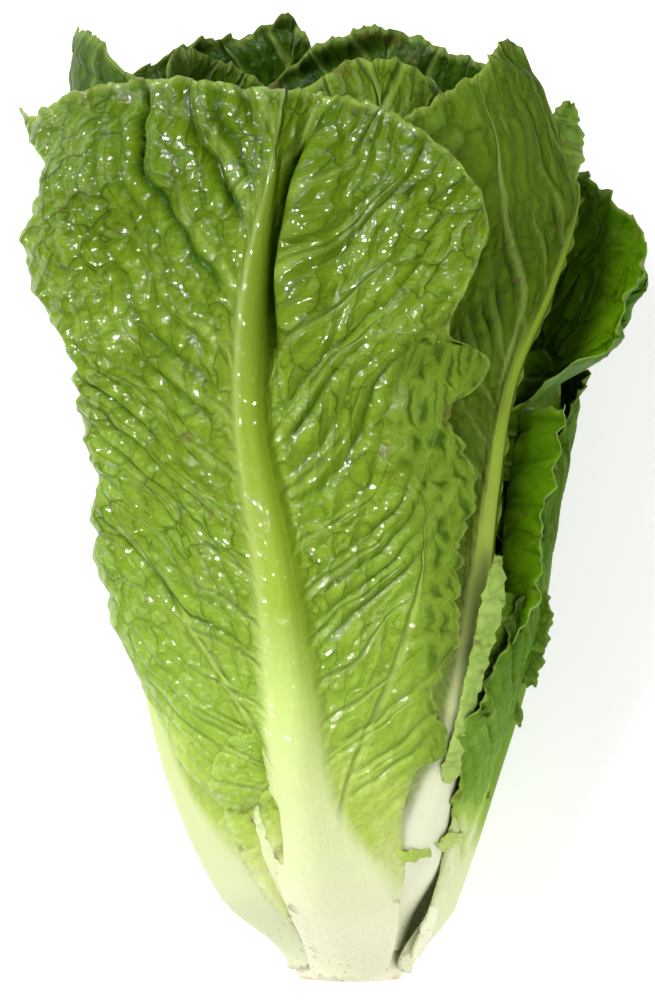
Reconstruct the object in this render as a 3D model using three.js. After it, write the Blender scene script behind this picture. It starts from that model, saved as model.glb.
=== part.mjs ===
// A head of romaine lettuce lying on its side: a short cut stem with the leaves wrapped round it,
// each leaf one thin solid with a thick white midrib. Units are millimetres.
//
// +Y runs from the cut to the leaf tips and +Z is up. Round the head's axis, angle 0 faces up and
// angles grow towards +X. Every leaf lies on one of a family of nested shells: `layer` is 1 on the
// outermost shell and falls towards 0 at the axis, so leaves of different layers never cross.
import * as THREE from "three";

// ---------------------------------------------------------------- driving dimensions

// The outermost shell: [distance from the cut, half width, half height, sideways shift, axis height].
const ENVELOPE = [
  [0, 18, 17.5, 7, 21],
  [14, 26, 23.5, 6, 25.5],
  [30, 35.5, 32, 2, 32],
  [60, 48, 40, -0.5, 39.2],
  [90, 57.5, 44.5, 0, 43.7],
  [120, 64.5, 48, 0.5, 47.2],
  [150, 68, 50.5, 0.5, 49.7],
  [180, 73, 53.5, 0, 52.7],
  [210, 84, 56.5, 1, 55.8],
  [240, 88, 58, 2, 57.6],
  [270, 84, 52, 1, 59],
  [300, 74, 42, 0, 61],
];
// How far the shells are squared off from an ellipse: 2 is an ellipse.
const SQUARENESS = 2.5;
// The stem inside the head: [distance from the cut, radius].
const STEM = [
  [0, 16.5],
  [3, 17],
  [12, 15.5],
  [30, 11.5],
  [55, 7.5],
  [80, 4],
];
const STEM_SIDES = 20;
const STEM_RINGS = [0, 1.2, 5, 10, 16, 22, 30, 40, 52, 66, 78, 80];
// The stem's first and last rings are drawn in by these shares, which blunts its two ends.
const STEM_ENDS = { first: 0.9, last: 0.55 };
// Leaves stand this far off the stem.
const SEAT_GAP = 0.5;
// The thin part of every leaf.
const BLADE_THICKNESS = 0.8;
// No leaf wraps further than this to either side of its midrib, in radians.
const MOST_WRAP = 2.5;
// The shape that all leaves share, by share of leaf length: height and half width of the midrib.
const RIB = [
  [0, 0.7, 13],
  [0.08, 2.9, 12],
  [0.2, 3.6, 9.5],
  [0.35, 3.2, 7],
  [0.6, 2.2, 4.4],
  [0.85, 1.1, 2.6],
  [1, 0.4, 1.6],
];
// The outline of a plain leaf, by share of leaf length: half width as a share of the widest.
const PLAIN_OUTLINE = [
  [0.1, 0.3],
  [0.3, 0.52],
  [0.5, 0.8],
  [0.7, 1],
  [0.88, 0.94],
  [1, 0.7],
];
// How far round the stem the sheath of a plain leaf clasps to either side, in radians.
const SHEATH_WRAP = 0.66;
// Waves cut into the margins, and the length of the waves that lift them.
const MARGIN_WAVE = { height: 1.6, length: 33 };
const RUFFLE_LENGTH = 46;
// How far the tip's corners fall short of its middle, as a share of leaf length, and its own waves.
const TIP = { drop: 0.17, roundness: 2.3, wave: 2.2 };
// Where the columns of a leaf's grid lie, from the left edge (-1) to the right edge (1).
const FINE_COLUMNS = [
  -1, -0.8, -0.6, -0.4, -0.23, -0.11, -0.04, 0, 0.04, 0.1, 0.17, 0.24, 0.34, 0.5, 0.68, 0.84, 1,
];
const PLAIN_COLUMNS = [-1, -0.78, -0.52, -0.27, -0.09, 0, 0.09, 0.27, 0.52, 0.78, 1];
const HEART_COLUMNS = [-1, -0.68, -0.34, -0.1, 0, 0.1, 0.34, 0.68, 1];

// ---------------------------------------------------------------- curves and waves

const clamp01 = (t) => Math.min(1, Math.max(0, t));
const smooth = (low, high, x) => {
  const t = clamp01((x - low) / (high - low));
  return t * t * (3 - 2 * t);
};
const degrees = (angle) => (angle * Math.PI) / 180;

/** A smooth curve through stations [position, value, ...], level past both ends. */
function along(stations, at, column = 1) {
  const last = stations.length - 1;
  if (at <= stations[0][0]) return stations[0][column];
  if (at >= stations[last][0]) return stations[last][column];
  let i = 0;
  while (at > stations[i + 1][0]) i += 1;
  const slope = (k) => {
    const before = stations[Math.max(k - 1, 0)];
    const after = stations[Math.min(k + 1, last)];
    return (after[column] - before[column]) / (after[0] - before[0]);
  };
  const [p, q] = [stations[i], stations[i + 1]];
  const span = q[0] - p[0];
  const t = (at - p[0]) / span;
  const [t2, t3] = [t * t, t * t * t];
  return (
    (2 * t3 - 3 * t2 + 1) * p[column] +
    (t3 - 2 * t2 + t) * span * slope(i) +
    (3 * t2 - 2 * t3) * q[column] +
    (t3 - t2) * span * slope(i + 1)
  );
}

/** A repeatable number from 0 to 1 for a leaf's seed and a counter. */
function chance(seed, counter) {
  const x = Math.sin(seed * 12.9898 + counter * 78.233) * 437.585;
  return x - Math.floor(x);
}

/** An uneven wave of about one unit: three sines whose lengths don't share a beat. */
function wave(x, length, seed) {
  const turn = (2 * Math.PI * x) / length;
  return (
    0.55 * Math.sin(turn + 6.28 * chance(seed, 1)) +
    0.3 * Math.sin(1.73 * turn + 6.28 * chance(seed, 2)) +
    0.25 * Math.sin(2.9 * turn + 6.28 * chance(seed, 3))
  );
}

// ---------------------------------------------------------------- the head's shells

const stemRadius = (y) => along(STEM, y);

/** Half width and half height of a shell at distance y, before it is squared off. */
function shellRadii(y, share) {
  const core = y < STEM[STEM.length - 1][0] ? stemRadius(y) + SEAT_GAP : STEM[STEM.length - 1][1];
  return [
    core + (along(ENVELOPE, y, 1) - core) * share,
    core + (along(ENVELOPE, y, 2) - core) * share,
  ];
}

/** The point of a shell at distance y and an angle, lifted off it by `lift`. */
function shellPoint(y, angle, share, lift) {
  const [s, c] = [Math.sin(angle), Math.cos(angle)];
  const squared =
    (Math.abs(s) ** SQUARENESS + Math.abs(c) ** SQUARENESS) ** (-1 / SQUARENESS);
  const bulge = 1 + (squared - 1) * share;
  const [across, up] = shellRadii(y, share);
  return new THREE.Vector3(
    along(ENVELOPE, y, 3) + (across * bulge + lift) * s,
    y,
    along(ENVELOPE, y, 4) + (up * bulge + lift) * c,
  );
}

// ---------------------------------------------------------------- one leaf

class Leaf {
  /**
   * Lengths are in millimetres and a side runs from -1 at the left edge to 1 at the right edge.
   * around: [[distance, angle in degrees]] of the midrib. layer: [[distance, shell]]. from, to: where
   * it leaves the stem and where its tip is. rise: the length over which it curves out to its shell.
   * width: the widest half width of a plain leaf. edges: [[distance, left, right]] half widths of a
   * leaf with an outline of its own, and tip: [[side, distance]] of its top edge. flare: [left, right]
   * lift of its edges, over the outer flareReach of each side, ramped in along flareFrom. ruffle: lift
   * of its wavy edges. margin: how deep the waves cut into its edges are. rib: how strong its midrib
   * is. fold: a lengthways trough, with the side that it lies at, and the distances where it deepens.
   */
  constructor(fields) {
    Object.assign(
      this,
      {
        edges: null,
        tip: null,
        rise: 22,
        flare: [0, 0],
        flareFrom: [60, 160],
        flareReach: 0.45,
        ruffle: 1,
        margin: 1,
        rib: 1,
        fold: { depth: 0, side: 0, breadth: 1, from: 0, to: 1 },
        columns: PLAIN_COLUMNS,
        rows: 16,
      },
      fields,
    );
  }

  /** How far along the leaf, 0 at the stem to 1 at the tip, distance y is. */
  share(y) {
    return clamp01((y - this.from) / (this.to - this.from));
  }

  halfWidth(y, side) {
    const loose = this.margin * smooth(0.2, 0.5, this.share(y));
    const margin = MARGIN_WAVE.height * loose * wave(y, MARGIN_WAVE.length, this.seed + 3 * side);
    if (this.edges) return along(this.edges, y, side < 0 ? 1 : 2) + margin;
    const sheath = (stemRadius(this.from) * SHEATH_WRAP) / this.width;
    return this.width * along([[0, sheath], ...PLAIN_OUTLINE], this.share(y)) + margin;
  }

  tipDistance(side) {
    if (this.tip) return along(this.tip, side);
    const drop = TIP.drop * (this.to - this.from) * Math.abs(side) ** TIP.roundness;
    return this.to - drop + TIP.wave * wave(side, 0.9, this.seed + 7);
  }

  distance(u, side) {
    return this.from + (this.tipDistance(side) - this.from) * u;
  }

  /** The inner surface at u along the leaf, 0 to 1, and side across it. */
  inner(u, side) {
    const y = this.distance(u, side);
    const rise = Math.sin((Math.PI / 2) * clamp01((y - this.from) / this.rise));
    const share = along(this.layer, y) * rise;
    const [across, up] = shellRadii(y, share);
    const turn = (2 * side * this.halfWidth(y, side)) / (across + up);
    const wrap = MOST_WRAP * Math.tanh(turn / MOST_WRAP);
    const point = shellPoint(y, degrees(along(this.around, y)) + wrap, share, this.lift(y, side));
    point.z = Math.max(point.z, this.thickness(u, side));
    return point;
  }

  /** Flare, ruffle and fold of the leaf, measured off its shell. */
  lift(y, side) {
    const out = Math.abs(side);
    const flare = this.flare[side < 0 ? 0 : 1] * smooth(1 - this.flareReach, 1, out) ** 1.2;
    const ramp = smooth(this.flareFrom[0], this.flareFrom[1], y);
    const loose = smooth(0.2, 0.7, this.share(y));
    const ruffle = this.ruffle * loose * out ** 1.6 * wave(y, RUFFLE_LENGTH, this.seed + side);
    const { depth, side: middle, breadth, from, to } = this.fold;
    const trough = depth * smooth(from, to, y) * Math.exp(-(((side - middle) / breadth) ** 2));
    return flare * ramp + ruffle - trough;
  }

  /** Thickness at u along and side across: a thin blade with a rounded midrib on its outside. */
  thickness(u, side) {
    const y = this.distance(u, side);
    const share = this.share(y);
    const off = Math.abs(side * this.halfWidth(y, side));
    const ridge = 1 - smooth(0, 1.35, off / along(RIB, share, 2));
    return BLADE_THICKNESS + this.rib * along(RIB, share, 1) * ridge;
  }

  /** The inner surface as rows of points from the stem to the tip. */
  innerGrid() {
    return Array.from({ length: this.rows }, (_, i) =>
      this.columns.map((side) => this.inner(i / (this.rows - 1), side)),
    );
  }

  /** The outer surface: the inner one raised by the leaf's thickness, and flat where it rests. */
  outerGrid(grid) {
    const [lastRow, lastColumn] = [this.rows - 1, this.columns.length - 1];
    return grid.map((row, i) =>
      row.map((point, j) => {
        const lengthways = grid[Math.min(i + 1, lastRow)][j].clone();
        lengthways.sub(grid[Math.max(i - 1, 0)][j]);
        const crossways = row[Math.min(j + 1, lastColumn)].clone();
        crossways.sub(row[Math.max(j - 1, 0)]);
        const out = crossways.cross(lengthways).normalize();
        const thickness = this.thickness(i / lastRow, this.columns[j]);
        const raised = point.clone().addScaledVector(out, thickness);
        raised.z = point.z > thickness ? Math.max(raised.z, 0) : 0;
        return raised;
      }),
    );
  }

  /** The closed solid: both surfaces, split into triangles alike, joined round their edge. */
  geometry() {
    const inner = this.innerGrid();
    const outer = this.outerGrid(inner);
    const [rows, columns] = [this.rows, this.columns.length];
    const count = rows * columns;
    const triangles = [];
    for (let i = 0; i < rows - 1; i += 1)
      for (let j = 0; j < columns - 1; j += 1) {
        const a = i * columns + j;
        const [b, c, d] = [a + 1, a + columns + 1, a + columns];
        triangles.push(a, b, c, a, c, d);
        triangles.push(count + a, count + c, count + b, count + a, count + d, count + c);
      }
    const rim = rimOf(rows, columns);
    rim.forEach((p, k) => {
      const q = rim[(k + 1) % rim.length];
      triangles.push(p, count + q, q, p, count + p, count + q);
    });
    return solid([...inner.flat(), ...outer.flat()], triangles);
  }
}

/** The numbers of the points round the edge of a grid, in order. */
function rimOf(rows, columns) {
  const [lastRow, lastColumn] = [rows - 1, columns - 1];
  const step = (length, place) => Array.from({ length }, (_, k) => place(k));
  return [
    ...step(lastColumn, (k) => k),
    ...step(lastRow, (k) => k * columns + lastColumn),
    ...step(lastColumn, (k) => lastRow * columns + lastColumn - k),
    ...step(lastRow, (k) => (lastRow - k) * columns),
  ];
}

/** A geometry from points and triangle corners, turned so that its faces point out. */
function solid(points, triangles) {
  let volume = 0;
  for (let t = 0; t < triangles.length; t += 3) {
    const [a, b, c] = [0, 1, 2].map((k) => points[triangles[t + k]]);
    volume += a.dot(new THREE.Vector3().crossVectors(b, c));
  }
  const turned = volume < 0 ? [...triangles].reverse() : triangles;
  const geometry = new THREE.BufferGeometry().setFromPoints(points);
  geometry.setIndex(turned);
  geometry.computeVertexNormals();
  return geometry;
}

// ---------------------------------------------------------------- the leaves of this head

// Outer leaves, each with its own place and outline, from the outermost shell inwards.
const OUTER_LEAVES = [
  {
    name: "leaf_front",
    around: [
      [2, -6],
      [60, -9],
      [120, -13],
      [165, -18],
      [205, -16],
      [266, -9],
    ],
    layer: [[0, 1]],
    from: 2,
    to: 268,
    edges: [
      [2, 10.5, 14],
      [20, 10, 20],
      [35, 11, 26],
      [50, 18, 33],
      [60, 28, 33],
      [71, 39, 43],
      [86, 50, 38],
      [105, 56, 45],
      [128, 56, 47],
      [150, 44, 55],
      [174, 46, 50],
      [187, 44, 64],
      [193, 47, 42],
      [210, 59, 53],
      [226, 61, 56],
      [245, 57, 53],
      [262, 80, 47],
    ],
    tip: [
      [-1, 264],
      [-0.9, 262],
      [-0.8, 262],
      [-0.6, 268],
      [-0.3, 270],
      [-0.1, 267],
      [0.1, 266],
      [0.2, 265],
      [0.34, 264],
      [0.5, 261],
      [0.75, 251],
      [0.9, 239],
      [1, 226],
    ],
    flare: [11, 4],
    flareFrom: [80, 190],
    flareReach: 0.7,
    ruffle: 1.6,
    margin: 0,
    rib: 1.25,
    fold: { depth: 8, side: 0.13, breadth: 0.085, from: 165, to: 215 },
    seed: 1,
    columns: FINE_COLUMNS,
    rows: 28,
  },
  {
    name: "leaf_right_outer",
    around: [
      [3, 88],
      [60, 92],
      [185, 108],
    ],
    layer: [[0, 1]],
    from: 2.5,
    to: 188,
    edges: [
      [2.5, 10.5, 10.5],
      [14, 15, 13],
      [25, 20, 14],
      [40, 25, 16],
      [60, 32, 19],
      [76, 35, 22],
      [98, 26, 28],
      [130, 26, 34],
      [165, 27, 36],
      [188, 22, 26],
    ],
    flare: [-4, 0],
    flareFrom: [100, 150],
    flareReach: 0.5,
    ruffle: 1.4,
    rib: 0.9,
    seed: 2,
  },
  {
    name: "leaf_under",
    around: [
      [3, -157],
      [80, -165],
      [290, -172],
    ],
    layer: [[0, 1]],
    from: 3,
    to: 295,
    edges: [
      [3, 10.5, 10.5],
      [14, 14, 15],
      [25, 19, 22],
      [40, 23, 28],
      [60, 28, 34],
      [90, 36, 42],
      [149, 54, 56],
      [207, 67, 68],
      [260, 63, 65],
      [295, 46, 50],
    ],
    ruffle: 1,
    seed: 3,
  },
  {
    name: "leaf_right_inner",
    around: [
      [6, 114],
      [60, 110],
      [180, 104],
    ],
    layer: [[0, 0.88]],
    rise: 26,
    from: 6,
    to: 168,
    edges: [
      [6, 10, 10],
      [14, 11, 11],
      [25, 14, 14],
      [40, 21, 18],
      [60, 31, 24],
      [80, 38, 31],
      [110, 44, 40],
      [140, 45, 45],
      [168, 42, 38],
    ],
    tip: [
      [-1, 165],
      [-0.7, 163],
      [-0.3, 166],
      [0.4, 163],
      [1, 146],
    ],
    flare: [14, 0],
    flareFrom: [75, 125],
    flareReach: 0.25,
    rib: 0.6,
    fold: { depth: 5, side: -0.7, breadth: 0.22, from: 40, to: 80 },
    seed: 4,
  },
  {
    name: "leaf_left",
    around: [
      [4, -76],
      [25, -71],
      [60, -70],
      [110, -80],
      [150, -88],
      [262, -94],
    ],
    layer: [[0, 0.9]],
    from: 4,
    to: 264,
    edges: [
      [4, 10.5, 10.5],
      [14, 14, 15],
      [25, 19, 21],
      [40, 24, 25],
      [60, 29, 28],
      [90, 36, 34],
      [134, 46, 45],
      [186, 57, 55],
      [233, 53, 53],
      [264, 40, 39],
    ],
    ruffle: 1.4,
    seed: 5,
  },
  {
    name: "leaf_under_right",
    around: [
      [12, 162],
      [287, 166],
    ],
    layer: [
      [0, 0.74],
      [60, 0.8],
      [120, 0.84],
    ],
    rise: 30,
    from: 12,
    to: 290,
    width: 58,
    ruffle: 1,
    rib: 0.8,
    seed: 6,
  },
  {
    name: "leaf_right_back",
    around: [
      [17, 150],
      [60, 130],
      [100, 124],
      [240, 117],
    ],
    layer: [
      [0, 0.62],
      [100, 0.68],
      [150, 0.75],
    ],
    rise: 36,
    from: 17,
    to: 252,
    width: 50,
    flare: [34, 0],
    flareFrom: [164, 196],
    flareReach: 0.9,
    rib: 0.7,
    ruffle: 1,
    seed: 7,
  },
  {
    name: "leaf_right_front",
    around: [
      [10, 38],
      [60, 44],
      [120, 47],
      [176, 53],
      [205, 58],
      [236, 68],
    ],
    layer: [[0, 0.84]],
    rise: 30,
    from: 10,
    to: 284,
    edges: [
      [10, 9, 9],
      [30, 13, 13],
      [60, 17, 13],
      [100, 34, 11],
      [140, 50, 9],
      [180, 58, 8],
      [230, 64, 9],
      [280, 58, 9],
    ],
    tip: [
      [-1, 258],
      [-0.6, 276],
      [-0.3, 285],
      [0, 240],
      [1, 236],
    ],
    ruffle: 0.8,
    seed: 8,
  },
  {
    name: "leaf_left_front",
    around: [
      [12, -34],
      [50, -37],
      [100, -48],
      [220, -60],
      [280, -72],
    ],
    layer: [
      [0, 0.7],
      [60, 0.72],
      [110, 0.76],
      [230, 0.8],
      [280, 0.95],
    ],
    rise: 26,
    from: 12,
    to: 287,
    width: 56,
    ruffle: 1,
    rib: 0.6,
    seed: 9,
  },
  {
    name: "leaf_right_upper",
    around: [
      [20, 76],
      [265, 78],
    ],
    layer: [
      [0, 0.5],
      [100, 0.56],
      [150, 0.64],
    ],
    rise: 40,
    from: 20,
    to: 270,
    width: 48,
    ruffle: 0.8,
    rib: 0.8,
    seed: 10,
  },
];

// Inner leaves follow one another round the stem by the golden angle, smaller and further up it.
const GOLDEN_ANGLE = 137.5;
const INNER = { count: 11, firstAngle: 232, firstLayer: 0.56, layerStep: 0.046, baseLayer: 0.8, rise: 44 };
const INNER_SIZE = {
  firstFrom: 24,
  fromStep: 4,
  firstTo: 283,
  toStep: 6.5,
  firstWidth: 54,
  widthStep: 2.9,
};

const INNER_LEAVES = Array.from({ length: INNER.count }, (_, k) => {
  const angle = INNER.firstAngle + GOLDEN_ANGLE * k;
  return {
    name: `leaf_inner_${String(k + 1).padStart(2, "0")}`,
    around: [
      [0, angle],
      [300, angle + 8],
    ],
    layer: [
      [0, INNER.baseLayer * (INNER.firstLayer - INNER.layerStep * k)],
      [150, INNER.firstLayer - INNER.layerStep * k],
    ],
    rise: INNER.rise,
    from: INNER_SIZE.firstFrom + INNER_SIZE.fromStep * k,
    to: INNER_SIZE.firstTo - INNER_SIZE.toStep * k,
    width: INNER_SIZE.firstWidth - INNER_SIZE.widthStep * k,
    ruffle: 0.5,
    rib: 0.75,
    seed: 20 + k,
    columns: HEART_COLUMNS,
    rows: 12,
  };
});

// ---------------------------------------------------------------- colours and assembly

const FINISH = {
  outer: { color: 0x7aa033, roughness: 0.45, metalness: 0 },
  inner: { color: 0x8fb33f, roughness: 0.5, metalness: 0 },
  stem: { color: 0xe6e8c8, roughness: 0.6, metalness: 0 },
};

/** The share that a ring of the stem is drawn in by. */
function stemShrink(ring) {
  if (ring === 0) return STEM_ENDS.first;
  return ring === STEM_RINGS.length - 1 ? STEM_ENDS.last : 1;
}

/** The stem: rings round the head's axis, closed by the flat cut and a blunt top. */
function stemGeometry() {
  const points = STEM_RINGS.flatMap((y, ring) =>
    Array.from({ length: STEM_SIDES }, (_, k) => {
      const angle = (2 * Math.PI * k) / STEM_SIDES;
      const radius = stemRadius(y) * stemShrink(ring);
      return new THREE.Vector3(
        along(ENVELOPE, y, 3) + radius * Math.sin(angle),
        y,
        along(ENVELOPE, y, 4) + radius * Math.cos(angle),
      );
    }),
  );
  const triangles = [];
  const at = (ring, k) => ring * STEM_SIDES + (k % STEM_SIDES);
  const top = STEM_RINGS.length - 1;
  for (let ring = 0; ring < top; ring += 1)
    for (let k = 0; k < STEM_SIDES; k += 1) {
      triangles.push(at(ring, k), at(ring, k + 1), at(ring + 1, k + 1));
      triangles.push(at(ring, k), at(ring + 1, k + 1), at(ring + 1, k));
    }
  for (let k = 1; k < STEM_SIDES - 1; k += 1) {
    triangles.push(at(0, 0), at(0, k + 1), at(0, k));
    triangles.push(at(top, 0), at(top, k), at(top, k + 1));
  }
  return solid(points, triangles);
}

function named(name, geometry, finish) {
  const mesh = new THREE.Mesh(geometry, new THREE.MeshStandardMaterial(finish));
  mesh.name = name;
  return mesh;
}

const head = new THREE.Group();
head.add(named("stem", stemGeometry(), FINISH.stem));
for (const fields of OUTER_LEAVES)
  head.add(named(fields.name, new Leaf(fields).geometry(), FINISH.outer));
for (const fields of INNER_LEAVES)
  head.add(named(fields.name, new Leaf(fields).geometry(), FINISH.inner));

// The part's origin is under the middle of the head, on the surface that it lies on.
const bounds = new THREE.Box3().setFromObject(head, true);
const middle = bounds.getCenter(new THREE.Vector3());
head.position.set(-middle.x, -middle.y, -bounds.min.z);

export default head;
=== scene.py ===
"""A head of romaine lettuce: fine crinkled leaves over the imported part, on a pale floor.

Every leaf is a thin closed shell over one of a family of nested shells round the head's axis. Lengths
in the formulas are millimetres in the head's own frame: y from the cut to the tips, z up, angle 0 up
and growing to +X. They are turned into metres in the part's frame at the very end.
"""

import logging
from dataclasses import dataclass
from enum import Enum
from typing import Sequence

import bpy
import numpy as np
from mathutils import Euler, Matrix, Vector


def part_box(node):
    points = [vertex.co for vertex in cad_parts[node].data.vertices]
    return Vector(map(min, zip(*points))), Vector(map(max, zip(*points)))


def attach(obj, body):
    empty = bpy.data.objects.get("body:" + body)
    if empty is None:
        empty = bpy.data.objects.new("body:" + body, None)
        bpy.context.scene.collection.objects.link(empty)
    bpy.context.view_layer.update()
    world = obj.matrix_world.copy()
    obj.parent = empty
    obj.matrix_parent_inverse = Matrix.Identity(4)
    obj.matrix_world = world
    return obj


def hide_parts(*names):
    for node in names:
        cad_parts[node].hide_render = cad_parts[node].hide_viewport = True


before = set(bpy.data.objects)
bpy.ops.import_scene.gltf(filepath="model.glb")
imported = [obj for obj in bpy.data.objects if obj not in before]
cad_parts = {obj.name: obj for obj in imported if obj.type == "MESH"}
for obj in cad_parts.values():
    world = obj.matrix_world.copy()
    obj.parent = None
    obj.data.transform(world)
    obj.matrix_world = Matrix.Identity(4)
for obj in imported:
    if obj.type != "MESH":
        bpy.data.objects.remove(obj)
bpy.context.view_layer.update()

logging.basicConfig(level=logging.INFO, format="%(message)s")
LOG = logging.getLogger("lettuce")

MM = 0.001
Array = np.ndarray
Stations = Sequence[Sequence[float]]
Colour = tuple[float, float, float]
Ramp = tuple[tuple[float, Colour], ...]
Materials = dict[str, bpy.types.Material]

# ---- the head's form

# Outermost shell: distance from the cut, half width, half height, sideways shift, axis height.
ENVELOPE: Stations = (
    (0, 18, 17.5, 7, 21), (14, 26, 23.5, 6, 25.5), (30, 35.5, 32, 2, 32), (60, 48, 40, -0.5, 39.2),
    (90, 57.5, 44.5, 0, 43.7), (120, 64.5, 48, 0.5, 47.2), (150, 68, 50.5, 0.5, 49.7),
    (180, 73, 53.5, 0, 52.7), (210, 84, 56.5, 1, 55.8), (240, 88, 58, 2, 57.6), (270, 84, 52, 1, 59),
    (300, 74, 42, 0, 61),
)
SQUARENESS = 2.5
# The stem: distance from the cut, radius; and the clearance between it and the innermost shell.
STEM: Stations = ((0, 16.5), (3, 17), (12, 15.5), (30, 11.5), (55, 7.5), (80, 4))
SEAT_GAP = 0.5
BLADE_THICKNESS = 0.8
# Furthest that a leaf's edge reaches round the head, in radians each side of its midrib.
MOST_WRAP = 2.5
# Midrib: share of leaf length, height, half width.
RIB: Stations = (
    (0, 0.7, 13), (0.08, 2.9, 12), (0.2, 3.6, 9.5), (0.35, 3.2, 7), (0.6, 2.2, 4.4), (0.85, 1.1, 2.6),
    (1, 0.4, 1.6),
)
# Where the midrib's pale colour ends: share of leaf length, half width.
RIB_COLOUR: Stations = (
    (0, 24), (0.1, 22), (0.16, 13), (0.22, 8.2), (0.3, 7.2), (0.48, 5.8), (0.72, 3.5), (0.82, 2.1),
    (0.9, 0.8), (1, 0.2),
)
# Outline of a leaf with no edges of its own: share of leaf length, share of its half width.
PLAIN_OUTLINE: Stations = ((0.1, 0.3), (0.3, 0.52), (0.5, 0.8), (0.7, 1), (0.88, 0.94), (1, 0.7))
SHEATH_WRAP = 0.66
MARGIN_HEIGHT, MARGIN_LENGTH = 1.6, 33.0
RUFFLE_LENGTH = 46.0
TIP_DROP, TIP_ROUNDNESS, TIP_WAVE = 0.17, 2.3, 2.2
# How steeply the side veins climb: share of leaf length, rise along the leaf for each mm out.
FAN: Stations = ((0.1, 0.55), (0.35, 0.75), (0.55, 1.0), (0.75, 1.45), (1, 2.1))
SPREAD = 1.8
# Lengths of the waves along a leaf's edges and its tip.
BITE_LENGTH, LOBE_LENGTH, FRAY_LENGTH, FRILL_LENGTH = 8.5, 21, 7.5, 19
# The dull, pitted zone along a right edge begins and ends at these distances, each (low, high).
PITS_BEGIN, PITS_END = (55, 75), (185, 205)
# The gutter beside the rib: where it deepens and runs out, and (distance from the rib, breadth) of
# its bottom, of the crest beside it and of the part of the crest that leans over it.
GUTTER_DEEPENS, GUTTER_ENDS = (168, 215), (238, 256)
GUTTER_BOTTOM, GUTTER_CREST, GUTTER_LEAN = (6.2, 3.3), (13, 5.0), (11.5, 4.2)
# How thin the blade gets at its rim, and over how much of its width.
RIM_THINNESS, RIM_REACH = 0.35, 0.06
# Stands for "no large side vein near" in the attribute major, in mm.
FAR = 99.0
# Keeps the patterns of two sheets apart.
PATTERN_STEP = 40.0
# Sheet attributes that are single values; "vein" and "place" are vectors.
# The troughs' depth is carried for painted shade, and the place across the midrib for the painted shade and
# light on its flanks.
SHEET_VALUES = ("grow", "ribness", "flank", "margin", "pit", "hollow", "major")


# ---- curves and noise


def smooth(low: float, high: float, x: Array) -> Array:
    """3t^2 - 2t^3 with t running from 0 at low to 1 at high."""
    t = np.clip((x - low) / (high - low), 0, 1)
    return t * t * (3 - 2 * t)


def bell(centre: float, breadth: float, x: Array) -> Array:
    """exp(-((x - centre) / breadth)^2)."""
    return np.exp(-(((x - centre) / breadth) ** 2))


def along(stations: Stations, at: Array, column: int = 1) -> Array:
    """A smooth curve through stations, level past both ends.

    Args:
        stations: rows of position, value, ...
        at: where to read it.
        column: which value.
    Returns:
        Cubic Hermite values whose slope at a station is that of the chord between its neighbours.
    """
    table = np.asarray(stations, dtype=float)
    x, v = table[:, 0], table[:, column]
    at = np.asarray(at, dtype=float)
    if len(x) == 1:
        return np.full(at.shape, v[0])
    at = np.clip(at, x[0], x[-1])
    i = np.clip(np.searchsorted(x, at, side="left") - 1, 0, len(x) - 2)
    before = np.maximum(np.arange(len(x)) - 1, 0)
    after = np.minimum(np.arange(len(x)) + 1, len(x) - 1)
    slope = (v[after] - v[before]) / (x[after] - x[before])
    span = x[i + 1] - x[i]
    t = (at - x[i]) / span
    t2, t3 = t * t, t * t * t
    return (
        (2 * t3 - 3 * t2 + 1) * v[i]
        + (t3 - 2 * t2 + t) * span * slope[i]
        + (3 * t2 - 2 * t3) * v[i + 1]
        + (t3 - t2) * span * slope[i + 1]
    )


def chance(seed: Array, counter: float) -> Array:
    """frac(437.585 sin(12.9898 seed + 78.233 counter)): a repeatable number from 0 to 1."""
    x = np.sin(seed * 12.9898 + counter * 78.233) * 437.585
    return x - np.floor(x)


def wave(x: Array, length: float, seed: Array) -> Array:
    """0.55 sin(a) + 0.3 sin(1.73 a) + 0.25 sin(2.9 a), a = 2 pi x / length, phases by seed."""
    turn = 2 * np.pi * x / length
    return (
        0.55 * np.sin(turn + 6.28 * chance(seed, 1))
        + 0.3 * np.sin(1.73 * turn + 6.28 * chance(seed, 2))
        + 0.25 * np.sin(2.9 * turn + 6.28 * chance(seed, 3))
    )


def lattice(x: Array, y: Array, seed: float) -> Array:
    """Value noise from -1 to 1: hashed whole-number corners blended by 3t^2 - 2t^3."""
    ix, iy = np.floor(x), np.floor(y)
    fx, fy = x - ix, y - iy
    fx, fy = fx * fx * (3 - 2 * fx), fy * fy * (3 - 2 * fy)

    def corner(dx: int, dy: int) -> Array:
        """The hashed value, -1 to 1, of one corner of each point's cell."""
        h = np.sin((ix + dx) * 127.1 + (iy + dy) * 311.7 + seed * 74.7) * 43758.5453
        return 2 * (h - np.floor(h)) - 1

    low = corner(0, 0) * (1 - fx) + corner(1, 0) * fx
    high = corner(0, 1) * (1 - fx) + corner(1, 1) * fx
    return low * (1 - fy) + high * fy


def crumple(x: Array, y: Array, length: float, seed: float) -> Array:
    """Three octaves of value noise, the longest with features `length` across."""
    total = lattice(x / length, y / length, seed)
    total = total + 0.5 * lattice(2.1 * x / length + 5, 2.1 * y / length, seed + 1)
    return total + 0.25 * lattice(4.3 * x / length, 4.3 * y / length + 9, seed + 2)


# ---- the head's shells


def stem_radius(y: Array) -> Array:
    """Radius of the stem at a distance from the cut."""
    return along(STEM, y)


def shell_radii(y: Array, share: Array) -> tuple[Array, Array]:
    """Half width and half height of a shell: core + (envelope - core) * share."""
    core = np.where(y < STEM[-1][0], stem_radius(y) + SEAT_GAP, STEM[-1][1])
    across = core + (along(ENVELOPE, y, 1) - core) * share
    up = core + (along(ENVELOPE, y, 2) - core) * share
    return across, up


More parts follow.
